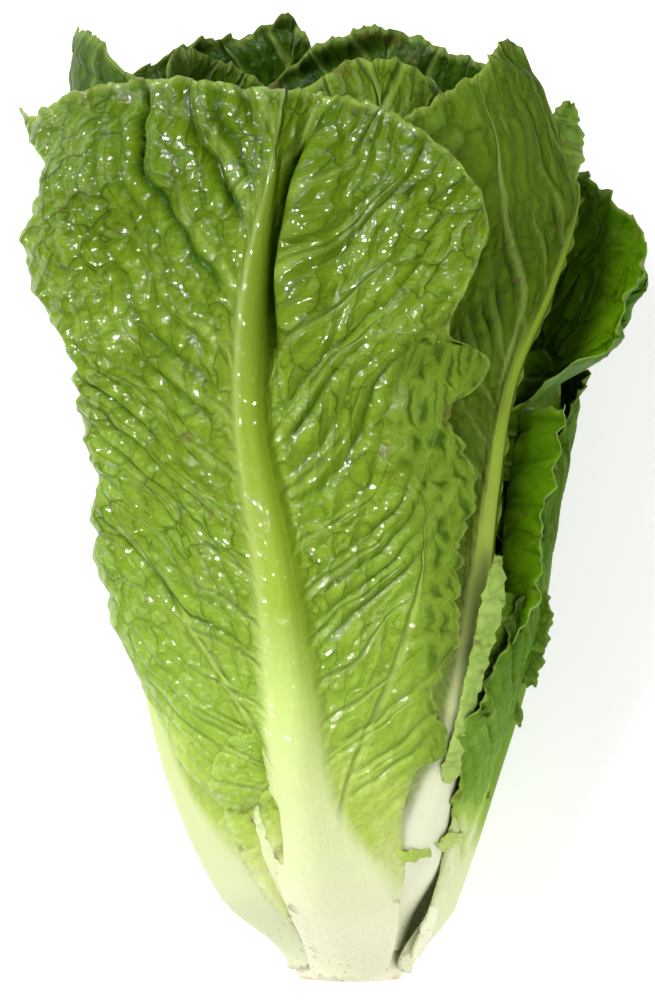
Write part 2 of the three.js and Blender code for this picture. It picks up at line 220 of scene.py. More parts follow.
def shell_point(y: Array, angle: Array, share: Array, lift: Array) -> Array:
    """Points of a shell, (|s|^n + |c|^n)^(-1/n) further out than its ellipse, raised by lift."""
    s, c = np.sin(angle), np.cos(angle)
    squared = (np.abs(s) ** SQUARENESS + np.abs(c) ** SQUARENESS) ** (-1 / SQUARENESS)
    bulge = 1 + (squared - 1) * share
    across, up = shell_radii(y, share)
    x = along(ENVELOPE, y, 3) + (across * bulge + lift) * s
    z = along(ENVELOPE, y, 4) + (up * bulge + lift) * c
    return np.stack([x, y + 0 * x, z], axis=-1)


# ---- materials


class Gloss(Enum):
    """How wet a leaf looks: roughness of the blade and weight of its waxy coat."""

    GLOSSY = (0.45, 0.7)
    SATIN = (0.42, 0.04)
    MATT = (0.6, 0.0)


@dataclass(frozen=True)
class LeafFinish:
    """Look of one kind of leaf. Its colours run from its base to its tip.

    quilt scales the lumps of the blade, network the lines of its veins, and flank how strongly
    the right flank of its midrib is painted with shade and the left one with light.
    """

    name: str
    outside: Ramp
    inside: Ramp
    rib: Ramp
    gloss: Gloss = Gloss.GLOSSY
    quilt: float = 1.0
    network: float = 1.0
    flank: float = 0.0
    slot: str = "outer_leaf"


def rgb(red: int, green: int, blue: int) -> Colour:
    """Screen values from 0 to 255 as linear light."""
    c = np.array([red, green, blue]) / 255
    linear = np.where(c <= 0.04045, c / 12.92, ((c + 0.055) / 1.055) ** 2.4)
    return tuple(float(v) for v in linear)


def shades(*stops: tuple[float, int, int, int]) -> Ramp:
    """A ramp from rows of place and screen values."""
    return tuple((place, rgb(*colour)) for place, *colour in stops)


class Graph:
    """Short forms for building a shader tree. Every input takes a socket or a constant."""

    def __init__(self, material: bpy.types.Material) -> None:
        """Starts an empty tree on a material."""
        material.use_nodes = True
        self.tree = material.node_tree
        self.tree.nodes.clear()

    def node(self, kind: str, inputs: dict | None = None, **settings) -> bpy.types.Node:
        """A node with its settings and inputs."""
        made = self.tree.nodes.new(kind)
        for key, value in settings.items():
            setattr(made, key, value)
        for key, value in (inputs or {}).items():
            self.feed(made.inputs[key], value)
        return made

    def feed(self, socket: bpy.types.NodeSocket, value) -> None:
        """Links a socket, or sets the constant, on an input."""
        if isinstance(value, bpy.types.NodeSocket):
            self.tree.links.new(value, socket)
        elif isinstance(value, tuple) and socket.type == "RGBA" and len(value) == 3:
            socket.default_value = (*value, 1)
        else:
            socket.default_value = value

    def math(self, operation: str, a, b=0.0, c=0.0, clamp: bool = False):
        """One Math node."""
        made = self.node("ShaderNodeMath", operation=operation, use_clamp=clamp)
        for socket, value in zip(made.inputs, (a, b, c)):
            self.feed(socket, value)
        return made.outputs[0]

    def times(self, a, *others):
        """a * b * ..."""
        for b in others:
            a = self.math("MULTIPLY", a, b)
        return a

    def plus(self, a, b, c):
        """a * b + c."""
        return self.math("MULTIPLY_ADD", a, b, c)

    def less(self, a, b):
        """a - b."""
        return self.math("SUBTRACT", a, b)

    def blend(self, a, b, factor):
        """a where the factor is 0 and b where it is 1, for single values."""
        return self.plus(factor, self.less(b, a), a)

    def mix(self, factor, a, b, kind: str = "MIX"):
        """Colour a where the factor is 0 and b where it is 1."""
        made = self.node("ShaderNodeMix", data_type="RGBA", blend_type=kind)
        for place, value in ((0, factor), (6, a), (7, b)):
            self.feed(made.inputs[place], value)
        return made.outputs[2]

    def tint(self, colour, by: Colour):
        """A colour multiplied by another."""
        return self.mix(1.0, colour, by, "MULTIPLY")

    def step(self, value, low: float, high: float, start: float = 0.0, end: float = 1.0):
        """start at low to end at high, blended smoothly."""
        made = self.node("ShaderNodeMapRange", interpolation_type="SMOOTHSTEP")
        keys = ("Value", "From Min", "From Max", "To Min", "To Max")
        for key, item in zip(keys, (value, low, high, start, end)):
            self.feed(made.inputs[key], item)
        return made.outputs[0]

    def ramp(self, factor, stops: Ramp):
        """Colours by place."""
        made = self.node("ShaderNodeValToRGB")
        elements = made.color_ramp.elements
        while len(elements) > 1:
            elements.remove(elements[-1])
        elements[0].position, elements[0].color = stops[0][0], (*stops[0][1], 1)
        for place, colour in stops[1:]:
            elements.new(place).color = (*colour, 1)
        self.feed(made.inputs[0], factor)
        return made.outputs[0]

    def noise(self, vector, scale: float, detail: float = 2.0, rough: float = 0.5):
        """Perlin noise round 0.5."""
        inputs = {"Vector": vector, "Scale": scale, "Detail": detail, "Roughness": rough}
        return self.node("ShaderNodeTexNoise", inputs).outputs[0]

    def cell_edge(self, vector, scale: float = 1.0):
        """Distance from the edges of flat Voronoi cells."""
        made = self.node(
            "ShaderNodeTexVoronoi",
            {"Vector": vector, "Scale": scale},
            voronoi_dimensions="2D",
            feature="DISTANCE_TO_EDGE",
        )
        return made.outputs["Distance"]

    def attribute(self, name: str, output: str = "Fac"):
        """One of the mesh's own attributes."""
        return self.node("ShaderNodeAttribute", attribute_name=name).outputs[output]

    def vector(self, x, y, z=0.0):
        """Three values as one vector."""
        made = self.node("ShaderNodeCombineXYZ")
        for socket, value in zip(made.inputs, (x, y, z)):
            self.feed(socket, value)
        return made.outputs[0]

    def split(self, vector):
        """The three values of a vector."""
        return self.node("ShaderNodeSeparateXYZ", {0: vector}).outputs

    def bump(self, height, strength: float = 1.0, distance: float = MM):
        """A normal from heights."""
        inputs = {"Height": height, "Strength": strength, "Distance": distance}
        return self.node("ShaderNodeBump", inputs).outputs[0]

    def surface(self, shader: bpy.types.NodeSocket) -> None:
        """Ends the tree in a shader."""
        self.node("ShaderNodeOutputMaterial", {"Surface": shader})


class LeafSkin:
    """Blade, midrib, side veins and their network, all read from the leaf's own attributes.

    Side veins run where the phase is whole. Between them lies a network, the edges of Voronoi cells
    in phase and distance out near the midrib and in plain distances further out, and a second set
    of long cells where the leaf is pitted. Steps are in mm of distance or shares of leaf length.
    """

    def __init__(self, finish: LeafFinish) -> None:
        """Reads the attributes and draws the patterns that both height and colour use."""
        self.finish = finish
        self.material = bpy.data.materials.new(f"leaf_{finish.name}_skin")
        g = self.g = Graph(self.material)
        self.phase, self.out, _ = g.split(g.attribute("vein", "Vector"))
        self.place = g.attribute("place", "Vector")
        self.spot = g.split(self.place)
        self.grow, self.ribness, self.across_rib, self.margin, self.pit, self.hollow, self.major = (
            g.attribute(key) for key in SHEET_VALUES
        )
        self.away = g.math("ABSOLUTE", self.spot[0])
        self.near = g.step(self.away, 8.0, 38.0, 1.0, 0.0)
        self.beside = g.step(self.away, 14.0, 46.0, 1.0, 0.0)
        self.blade = g.less(1.0, self.ribness)
        self.plain = g.less(1.0, self.pit)
        self.rough_up = g.step(self.grow, 0.16, 0.55, 0.2, 1.0)
        self.from_base = g.step(self.grow, 0.18, 0.36, 0.15, 1.0)
        taper = g.step(self.away, 4.0, 34.0, 0.15, 0.03)
        off_line = g.math("PINGPONG", self.phase, 0.5)
        self.side_vein = g.less(1.0, g.step(g.math("DIVIDE", off_line, taper), 0.1, 1.0))
        self.main_vein = g.less(1.0, g.step(g.math("ABSOLUTE", self.major), 0.3, 1.8))
        self.draw_cells()

    def draw_cells(self) -> None:
        """Both sets of cells, their edge lines, and how far each point is sunk in a pit."""
        g, spot = self.g, self.spot
        warp = g.noise(self.place, 0.16, 1.0)
        across = g.plus(warp, 0.9, g.times(self.out, 0.17))
        near_edge = g.cell_edge(g.vector(g.plus(warp, 1.3, g.times(self.phase, 1.6)), across))
        wide_x = g.plus(warp, 1.1, g.times(spot[0], 0.125))
        wide = g.vector(wide_x, g.plus(warp, 1.1, g.times(spot[1], 0.085)), spot[2])
        outwards = g.times(g.step(self.away, 24.0, 38.0), g.less(g.cell_edge(wide), near_edge))
        self.edge = g.math("ADD", near_edge, outwards)
        self.net = g.less(1.0, g.step(self.edge, 0.01, 0.06))
        self.fine_net = g.less(1.0, g.step(g.cell_edge(wide, 2.7), 0.01, 0.09))
        pit_along = g.plus(warp, 1.0, g.times(spot[1], 0.09))
        pit_across = g.plus(pit_along, 0.35, g.plus(warp, 1.2, g.times(spot[0], 0.3)))
        pit_edge = g.cell_edge(g.vector(pit_across, pit_along))
        self.pit_net = g.less(1.0, g.step(pit_edge, 0.02, 0.12))
        self.sunk = g.times(self.pit, g.step(pit_edge, 0.14, 0.48))

    def beside_rib(self, everywhere, veined):
        """A noise that follows the side veins near the midrib and runs freely further out."""
        return self.g.blend(everywhere, veined, self.beside)

    def heights(self) -> tuple[bpy.types.NodeSocket, bpy.types.NodeSocket]:
        """Heights in mm of the blade and of the wet film over it."""
        g, quilt = self.g, self.finish.quilt
        dome = g.step(self.edge, 0.0, 0.42)
        height = g.times(dome, self.plain, self.rough_up, 0.8 * quilt)
        height = g.plus(self.sunk, -0.5 * quilt, height)
        veined = g.vector(g.times(self.phase, 2.0), g.times(self.out, 0.055))
        lump = self.beside_rib(g.noise(self.place, 0.14), g.noise(veined, 1.0))
        lump = g.times(lump, g.times(self.rough_up, g.step(self.pit, 0.0, 1.0, 1.0, 0.5)))
        height = g.plus(lump, 2.5 * quilt, height)
        height = g.plus(g.times(self.side_vein, self.near, self.from_base), self.finish.network, height)
        height = g.plus(self.main_vein, 1.0, height)
        height = g.plus(self.fine_net, -0.05, height)
        height = g.plus(g.noise(self.place, 0.4, 1.0, 0.6), 0.6 * quilt, height)
        height = g.times(height, self.blade)
        streak = g.vector(g.times(self.spot[0], 0.9), g.times(self.spot[1], 0.03))
        height = g.plus(g.times(g.noise(streak, 1.0), self.ribness), 0.22, height)
        soft = g.plus(g.noise(self.place, 1.2), 0.12, height)
        veined = g.vector(g.times(self.phase, 5.0), g.times(self.out, 0.17))
        drop = self.beside_rib(g.noise(self.place, 0.36, 1.0), g.noise(veined, 1.0, 1.0))
        wet = g.plus(g.times(drop, g.step(self.grow, 0.1, 0.3, 0.4, 1.0)), 2.0, height)
        return soft, wet

    def blade_colour(self):
        """Blade from base to tip with painted shade along the cell edges, in the troughs and in the pits,
        darker along the network, paler on side veins.
        """
        g, network = self.g, self.finish.network
        drift = g.plus(g.less(g.noise(self.place, 0.045, 3.0, 0.6), 0.5), 0.3, self.grow)
        inside, outside = g.ramp(drift, self.finish.inside), g.ramp(drift, self.finish.outside)
        colour = g.mix(g.attribute("face"), inside, outside)
        # Painted shade: the colour is darkened along the cell edges, in the troughs between side veins and
        # in the sunk pits, standing in for the shade that falls there.
        groove_shade = g.times(g.step(self.edge, 0.0, 0.28, 0.3, 0.0), g.times(self.plain, self.rough_up))
        shade = g.math("MAXIMUM", groove_shade, g.times(self.hollow, 0.85))
        shade = g.math("MAXIMUM", shade, g.times(self.sunk, 0.85))
        colour = g.mix(shade, colour, g.tint(colour, (0.2, 0.36, 0.03)))
        dark = g.tint(colour, (0.4, 0.46, 0.0))
        light = g.mix(0.4, colour, rgb(182, 206, 104))
        clear = g.step(g.noise(self.place, 0.035, 1.0), 0.35, 0.6, 0.4, 1.0)
        lines = g.math("MAXIMUM", self.net, g.times(self.fine_net, 0.16))
        lines = g.times(lines, clear, g.times(self.plain, self.rough_up))
        colour = g.mix(g.times(lines, 0.85 * network), colour, dark)
        colour = g.mix(g.times(self.pit, 0.8), colour, g.tint(colour, (0.6, 0.64, 0.6)))
        colour = g.mix(g.times(self.pit_net, self.pit, 0.12), colour, light)
        ridge_tone = g.mix(g.math("MAXIMUM", self.near, self.pit), dark, g.mix(0.5, colour, light))
        drawn = g.times(g.less(1.0, self.near), g.times(self.rough_up, 0.55 * network))
        drawn = g.plus(g.times(self.near, self.from_base), 0.8, drawn)
        colour = g.mix(g.times(self.side_vein, drawn), colour, ridge_tone)
        return g.mix(g.times(self.main_vein, 0.8), colour, light)

    def rib_colour(self):
        """The midrib, with painted shade on its right flank and painted light on its left one."""
        g = self.g
        rib = g.ramp(self.grow, self.finish.rib)
        flank_paint = g.step(self.grow, 0.18, 0.42, 0.0, self.finish.flank)
        # Painted shade on the right flank of the midrib.
        right = g.times(g.step(self.across_rib, 0.05, 0.75), flank_paint)
        rib = g.mix(right, rib, g.tint(rib, (0.6, 0.68, 0.25)))
        # Painted light on the left flank of the midrib.
        left = g.times(g.step(self.across_rib, -0.25, -0.8, 0.0, 0.3), flank_paint)
        return g.mix(left, rib, rgb(206, 218, 140))

    def weathered(self, colour):
        """A pale rim, browned patches along the margin, a few freckles and stains."""
        g = self.g
        rim = g.step(self.margin, 0.0, 1.6, 0.35, 0.0)
        colour = g.mix(g.times(rim, self.blade), colour, rgb(170, 196, 90))
        patch = g.step(g.noise(self.place, 0.13, 4.0, 0.65), 0.56, 0.66)
        torn = g.times(g.step(self.margin, 0.0, 5.0, 1.0, 0.0), patch)
        colour = g.mix(g.times(torn, 0.6), colour, rgb(92, 84, 34))
        low = g.step(self.grow, 0.02, 0.13, 0.11, 0.0)
        freckle = g.step(g.math("ADD", g.noise(self.place, 0.8), low), 0.76, 0.8)
        stain = g.step(g.noise(self.place, 0.13, 3.0, 0.6), 0.675, 0.72)
        freckle = g.math("MAXIMUM", freckle, g.times(stain, g.times(self.blade, self.rough_up)))
        return g.mix(g.times(freckle, 0.5), colour, rgb(112, 96, 44))

    def build(self) -> bpy.types.Material:
        """A blade that lets some light through, under a wet coat that is thin over the network."""
        g = self.g
        roughness, coat = self.finish.gloss.value
        soft, wet = self.heights()
        colour = self.weathered(g.mix(self.ribness, self.blade_colour(), self.rib_colour()))
        inputs = {
            "Base Color": colour,
            "Normal": g.bump(soft),
            "Coat Normal": g.bump(wet),
            "Roughness": g.step(self.pit, 0.0, 1.0, roughness, 0.6),
            "Coat Weight": g.times(g.math("MULTIPLY_ADD", self.net, -0.7, self.plain, clamp=True), coat),
        }
        shader = g.node("ShaderNodeBsdfPrincipled", inputs)
        shader.inputs["Specular IOR Level"].default_value = 0.1
        shader.inputs["Coat Roughness"].default_value = 0.045
        glow = g.node("ShaderNodeBsdfTranslucent", {"Color": g.tint(colour, (0.9, 1.0, 0.15))})
        both = g.node("ShaderNodeMixShader", {0: 0.14, 1: shader.outputs[0], 2: glow.outputs[0]})
        g.surface(both.outputs[0])
        LOG.info("material %s: %d nodes", self.finish.name, len(self.material.node_tree.nodes))
        return self.material


# ---- leaves


@dataclass
class Leaf:
    """One leaf: the same named form as its solid, with fine relief added.

    around is the midrib's path as (distance, degrees), layer its shell, edges the half widths of a
    leaf with its own outline as (distance, left, right), tip its top edge as (side, distance). A side
    runs from -1 at the left edge to 1 at the right. majors are large side veins as (distance, mm out).
    fold is (depth, middle, breadth, low, high), and with gutter it runs beside the rib instead.
    """

    name: str
    around: Stations
    layer: Stations
    start: float
    end: float
    finish: str = "dark"
    rise: float = 22.0
    width: float = 50.0
    edges: Stations | None = None
    tip: Stations | None = None
    flare: tuple[float, float] = (0.0, 0.0)
    flare_from: tuple[float, float] = (60.0, 160.0)
    flare_reach: float = 0.45
    ruffle: float = 1.0
    margin: float = 1.0
    rib: float = 1.0
    fold: tuple[float, float, float, float, float] | None = None
    seed: int = 1
    rows: int = 150
    columns: int = 90
    pleat: float = 0.9
    trough_reach: tuple[float, float] = (22.0, 52.0)
    trough_length: float = 17.0
    trough_breaks: tuple[float, float] = (0.75, 0.6)
    uneven: float = 0.0
    crease: float = 0.9
    frill: float = 1.6
    teeth: float = 1.3
    spacing: float = 10.0
    calm: float = 0.0
    gutter: bool = False
    pit_from: float | None = None
    pale: float = 1.0
    majors: tuple[Stations, ...] = ()

    def share(self, y: Array) -> Array:
        """0 at the stem to 1 at the tip."""
        return np.clip((y - self.start) / (self.end - self.start), 0, 1)

    def half_width(self, y: Array, side: Array) -> Array:
        """From the midrib to the edge in mm: the leaf's own edges, or the plain outline, waved."""
        loose = self.margin * smooth(0.2, 0.5, self.share(y))
        margin = MARGIN_HEIGHT * loose * wave(y, MARGIN_LENGTH, self.seed + 3 * np.sign(side))
        if self.edges is not None:
            half = np.where(side < 0, along(self.edges, y, 1), along(self.edges, y, 2))
            return half + margin * smooth(8, 16, half)
        sheath = float(stem_radius(np.array(self.start))) * SHEATH_WRAP / self.width
        outline = ((0, sheath), *PLAIN_OUTLINE)
        return self.width * along(outline, self.share(y)) + margin

    def tip_distance(self, side: Array) -> Array:
        """Distance from the cut of the top edge: the leaf's own, or rounded and waved."""
        if self.tip is not None:
            return along(self.tip, side)
        drop = TIP_DROP * (self.end - self.start) * np.abs(side) ** TIP_ROUNDNESS
        return self.end - drop + TIP_WAVE * wave(side, 0.9, self.seed + 7)

    def lift(self, y: Array, side: Array) -> Array:
        """Flare + ruffle - fold, as in the solid."""
        out = np.abs(side)
        flare = np.where(side < 0, self.flare[0], self.flare[1])
        flare = flare * smooth(1 - self.flare_reach, 1, out) ** 1.2
        ramp = smooth(*self.flare_from, y)
        loose = smooth(0.2, 0.7, self.share(y))
        ruffle = self.ruffle * loose * out**1.6 * wave(y, RUFFLE_LENGTH, self.seed + np.sign(side))
        fold = 0.0
        if self.fold is not None and not self.gutter:
            depth, middle, breadth, low, high = self.fold
            fold = depth * smooth(low, high, y) * bell(middle, breadth, side)
        return flare * ramp + ruffle - fold

    def phase(self, y: Array, off: Array) -> Array:
        """Count of side veins from the base: length / (spacing w) atan(w u), bent by noise.

        u is the share of the leaf at which the vein through the point leaves the midrib, k |off|
        below it, k being how steeply the side veins climb; w^2 = SPREAD, so they part up the leaf.
        """
        out = np.abs(off)
        k = along(FAN, self.share(y - out))
        length = self.end - self.start
        origin = (y - self.start - k * out - 0.006 * out**2) / length
        widening = SPREAD**0.5
        straight = length / (self.spacing * widening) * np.arctan(widening * origin) + 0.37 * (off > 0)
        bend = 0.42 * crumple(off, y, 30, self.seed + 20) * smooth(3, 25, out)
        return straight + bend

    def rib_edge(self, y: Array) -> Array:
        """Half width of the midrib's pale colour."""
        return self.pale * along(RIB_COLOUR, self.share(y)) * (0.6 + 0.4 * self.rib)

    def trough(self, y: Array, off: Array) -> Array:
        """Two troughs to each side vein, s ((1 - cos 4 pi phase) / 2)^1.5, s differing in each."""
        out = np.abs(off)
        phase = self.phase(y, off)
        which = np.floor(2 * phase)
        strength = 0.3 + 0.9 * chance(which + 17 * np.sign(off), self.seed)
        level, spread = self.trough_breaks
        broken = level + spread * lattice(which * 3.7, out / self.trough_length, self.seed + 30)
        shape = ((1 - np.cos(4 * np.pi * phase)) / 2) ** 1.5
        reach = smooth(0, 7, out - self.rib_edge(y)) * (1 - smooth(*self.trough_reach, out))
        ramp = smooth(0.12, 0.26, self.share(y)) * (0.38 + 0.62 * smooth(0.28, 0.62, self.share(y)))
        ramp = ramp * (1 - 0.5 * self.pits(y, off))
        ramp = ramp * (1 - self.uneven * np.sign(off) * smooth(0.55, 0.72, self.share(y)))
        return strength * np.clip(broken, 0, 1.3) * shape * reach * ramp

    def pits(self, y: Array, off: Array) -> Array:
        """1 in the dull, pitted zone along the right edge."""
        if self.pit_from is None:
            return np.zeros_like(y)
        reach = smooth(self.pit_from - 5, self.pit_from + 5, off)
        return reach * smooth(*PITS_BEGIN, y) * (1 - smooth(*PITS_END, y))

    def relief(self, y: Array, off: Array, side: Array) -> Array:
        """Blade sunk between its side veins, crumples, a frilled edge and the gutter by the rib."""
        out = np.abs(off)
        body = smooth(3, 13, out) * smooth(0.12, 0.32, self.share(y))
        total = self.pleat * (0.35 * body - self.trough(y, off))
        slow = lattice(off / 27, y / 27, self.seed + 8) + 0.6 * lattice(off / 14, y / 14, self.seed + 9)
        total = total + self.crease * body * slow
        reach = smooth(0.66, 1, np.abs(side)) ** 1.8
        tip = smooth(0.86, 1, self.share(y))
        edge = np.maximum(reach * smooth(0.2, 0.45, self.share(y)), tip)
        calm = 1 - self.calm * (off > 0) * smooth(60, 80, y)
        total = total + self.frill * edge * calm * wave(y + 0.4 * off, FRILL_LENGTH, self.seed + 2)
        if self.gutter:
            ramp = smooth(*GUTTER_DEEPENS, y) * (1 - 0.85 * smooth(*GUTTER_ENDS, y))
            shape = 0.42 * bell(*GUTTER_CREST, off) - 1.5 * bell(*GUTTER_BOTTOM, off)
            total = total + self.fold[0] * ramp * shape
        return total

    def overhang(self, y: Array, off: Array) -> Array:
        """How far the crest beside the gutter leans over it, in mm along the surface."""
        if not self.gutter:
            return np.zeros_like(off)
        ramp = smooth(172, 218, y) * (1 - 0.8 * smooth(*GUTTER_ENDS, y))
        return -5.2 * ramp * bell(*GUTTER_LEAN, off)

    def thickness(self, y: Array, off: Array) -> Array:
        """Blade plus rib height * (1 - smooth(0, 1.35, off / rib half width))."""
        share = self.share(y)
        ridge = 1 - smooth(0, 1.35, np.abs(off) / along(RIB, share, 2))
        return BLADE_THICKNESS + self.rib * along(RIB, share, 1) * ridge

    def row_places(self) -> Array:
        """Where the rows lie, 0 to 1: closer together where the right edge runs sideways."""
        u = np.linspace(0, 1, 2001)
        if self.edges is None:
            return np.linspace(0, 1, self.rows)
        length = float(self.tip_distance(np.array(1.0))) - self.start
        slope = np.gradient(along(self.edges, self.start + length * u, 2), length / 2000)
        weight = np.sqrt(1 + np.minimum(np.abs(slope), 3) ** 2)
        weight = np.convolve(np.pad(weight, 20, mode="edge"), np.full(41, 1 / 41), mode="valid")
        run = np.concatenate([[0], np.cumsum((weight[1:] + weight[:-1]) / 2)])
        return np.interp(np.linspace(0, run[-1], self.rows), run, u)

    def major_distance(self, y: Array, off: Array) -> Array:
        """Signed distance in mm from the nearest large side vein, growing at both of its ends."""
        nearest = np.full_like(y, FAR)
        for line in self.majors:
            low, high = line[0][0], line[-1][0]
            narrowing = 1 + 6 * smooth(low + 12, low, y) + 6 * smooth(high - 34, high, y)
            gap = (off - along(line, y)) * narrowing
            gap = np.where((y > low) & (y < high), gap, FAR)
            nearest = np.where(np.abs(gap) < np.abs(nearest), gap, nearest)
        return nearest

    def surface(self) -> dict[str, Array]:
        """The inner and outer grids and everything that the material reads.

        Returns:
            Arrays of rows by columns: inner and outer points in mm, and the attributes.
        """
        u = self.row_places()[:, None]
        side = np.linspace(-1, 1, self.columns)[None, :] + 0 * u
        sign = np.where(side < 0, -1.0, 1.0)
        # Along the leaf, with a frayed tip and a rough foot.
        frayed = self.teeth * 0.8 * wave(side * 60, FRAY_LENGTH, self.seed + 11)
        y = self.start + (self.tip_distance(side) + smooth(0.9, 1, u) * frayed - self.start) * u
        y = y + smooth(0.03, 0, u) * (0.7 * wave(side * 30, 11, self.seed + 13) + 2.6 * np.abs(side) ** 4)
        # Across it, with bitten edges.
        loose = smooth(0.16, 0.3, self.share(y))
        bite = wave(y, BITE_LENGTH, self.seed + 5 * sign) + 0.9 * wave(y, LOBE_LENGTH, self.seed + 9 + sign)
        bite = self.teeth * loose * bite
        half = self.half_width(y, side)
        quiet = 1 - self.calm * (sign > 0) * smooth(176, 180, y)
        off = side * half + sign * np.abs(side) ** 7 * bite * smooth(8, 16, half) * quiet
        # Round the head, on the leaf's shell.
        share = along(self.layer, y) * np.sin(np.pi / 2 * np.clip((y - self.start) / self.rise, 0, 1))
        turn = 2 * (off + self.overhang(y, off)) / sum(shell_radii(y, share))
        angle = np.radians(along(self.around, y)) + MOST_WRAP * np.tanh(turn / MOST_WRAP)
        lift = self.lift(y, side) + self.relief(y, off, side) * smooth(0, 18, y - self.start)
        inner = shell_point(y, angle, share, lift)
        thick = self.thickness(y, off)
        from_rim = np.minimum(1 - np.abs(side), 2 * (1 - u))
        rim = np.minimum(1, RIM_THINNESS + (1 - RIM_THINNESS) * smooth(0, RIM_REACH, from_rim))
        thick = np.where(thick < 1.2, thick * rim, thick)
        # Flattened on the table that it lies on.
        inner[..., 2] = np.maximum(inner[..., 2], thick)
        outer = inner + grid_normals(inner) * thick[..., None]
        outer[..., 2] = np.where(inner[..., 2] > thick + 1e-6, np.maximum(outer[..., 2], 0), 0)
        return {
            "inner": inner,
            "outer": outer,
            "vein": np.stack([self.phase(y, off), np.abs(off), sign], axis=-1),
            "place": np.stack([off, y, 0 * y + PATTERN_STEP * self.seed], axis=-1),
            "grow": self.share(y),
            "ribness": 1 - smooth(0.7, 1.25, np.abs(off) / self.rib_edge(y)),
            "flank": np.clip(off / self.rib_edge(y), -3, 3),
            "margin": np.minimum((1 - np.abs(side)) * half, (1 - u) * 120),
            "pit": self.pits(y, off),
            # The troughs' depth, which the material paints as shade.
            "hollow": self.trough(y, off),
            "major": self.major_distance(y, off),
        }

    def build(self, offset: Array, materials: Materials) -> None:
        """Lays the leaf over its solid.

        Args:
            offset: from the head's frame to the part's, in mm.
            materials: the leaf materials by finish.
        """
        piece = lay_sheet("fine_" + self.name, self.surface(), offset, materials, self.finish)
        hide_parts(self.name)


@dataclass
class Scrap:
    """A torn or curled bit of blade along a path over the outermost shell.

    path rows are (x, y, half width to the left, half width to the right, height above the shell). The
    bit takes its colour from the place `grow` on its finish, or that of a midrib where ribness is 1.
    """

    name: str
    path: Stations
    finish: str = "front"
    grow: tuple[float, float] = (0.3, 0.3)
    ribness: float = 0.0
    curl: float = 0.0
    ragged: float = 0.8
    crinkle: float = 0.35
    seed: int = 50
    rows: int = 70
    columns: int = 26

    def surface(self) -> dict[str, Array]:
        """Grids as for a leaf: z = shell(x, y) + height + curl side^2 + crinkle noise."""
        count = len(self.path)
        table = [(k / (count - 1), *row) for k, row in enumerate(self.path)]
        t = np.linspace(0, 1, self.rows)[:, None]
        side = np.linspace(-1, 1, self.columns)[None, :] + 0 * t
        middle = [along(table, t, k) for k in (1, 2)]
        step = [np.gradient(axis, axis=0) for axis in middle]
        length = np.hypot(*step) + 1e-9
        half = np.where(side < 0, along(table, t, 3), along(table, t, 4))
        run = np.cumsum(length, axis=0)
        bite = self.ragged * np.abs(side) ** 5 * wave(run, 6.5, self.seed + np.sign(side))
        off = side * half + np.sign(side) * bite
        x = middle[0] + step[1] / length * off
        frayed = self.ragged * smooth(0.9, 1, t) * wave(side * 9, 7, self.seed)
        y = middle[1] - step[0] / length * off + frayed
        a, b, shift, axis = (along(ENVELOPE, y, k) for k in (1, 2, 3, 4))
        out = np.minimum(np.abs(x - shift) / a, 0.985)
        z = axis + b * (1 - out**SQUARENESS) ** (1 / SQUARENESS)
        z = z + along(table, t, 5) + self.curl * side**2 + self.crinkle * crumple(x, y, 7, self.seed)
        inner = np.stack([x, y, z], axis=-1)
        flat = np.zeros_like(x)
        return {
            "inner": inner,
            "outer": inner + grid_normals(inner) * BLADE_THICKNESS,
            "vein": np.stack([run / 9 + 0 * x, np.abs(off), np.sign(side)], axis=-1),
            "place": np.stack([off, run + 0 * x, flat + PATTERN_STEP * self.seed], axis=-1),
            "grow": self.grow[0] + (self.grow[1] - self.grow[0]) * t + flat,
            "ribness": flat + self.ribness,
            "flank": flat,
            "margin": (1 - np.abs(side)) * half,
            "pit": flat,
            "hollow": flat,
            "major": flat + FAR,
        }

    def build(self, offset: Array, materials: Materials) -> None:
        """Lays the bit over the head. See Leaf.build."""
        lay_sheet("scrap_" + self.name, self.surface(), offset, materials, self.finish)


def grid_normals(points: Array) -> Array:
    """Unit normals of a grid of points, from its differences across and along."""
    normal = np.cross(np.gradient(points, axis=1), np.gradient(points, axis=0))
    return normal / (np.linalg.norm(normal, axis=-1, keepdims=True) + 1e-12)


def lay_sheet(
    name: str, data: dict[str, Array], offset: Array, materials: Materials, finish: str
) -> bpy.types.Object:
    """Makes a closed sheet and the attributes that its material reads.

    Args:
        name: the object's name.
        data: inner and outer grids in mm of the head's frame, and the attributes.
        offset: from the head's frame to the part's, in mm.
        materials: the leaf materials by finish.
        finish: which of them the sheet wears.
    Returns:
        The object, riding the head.
    """
    rows, columns = data["pit"].shape
    points = np.concatenate([data["inner"].reshape(-1, 3), data["outer"].reshape(-1, 3)])
    mesh = make_mesh(name, (points + offset) * MM, closed_grid(rows, columns))
    for key in ("vein", "place"):
        put(mesh, key, np.concatenate([data[key].reshape(-1, 3)] * 2), "FLOAT_VECTOR", "vector")
    for key in SHEET_VALUES:
        put(mesh, key, np.concatenate([data[key].reshape(-1)] * 2))
    put(mesh, "face", np.repeat([0.0, 1.0], rows * columns))
    piece = dress(name, mesh, materials[finish])
    return piece


def dress(name: str, mesh: bpy.types.Mesh, material: bpy.types.Material) -> bpy.types.Object:
    """An object that wears a material and rides the head."""
    mesh.materials.append(material)
    piece = bpy.data.objects.new(name, mesh)
    bpy.context.scene.collection.objects.link(piece)
    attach(piece, "root")
    LOG.info("%s: %d faces", name, len(mesh.polygons))
    return piece


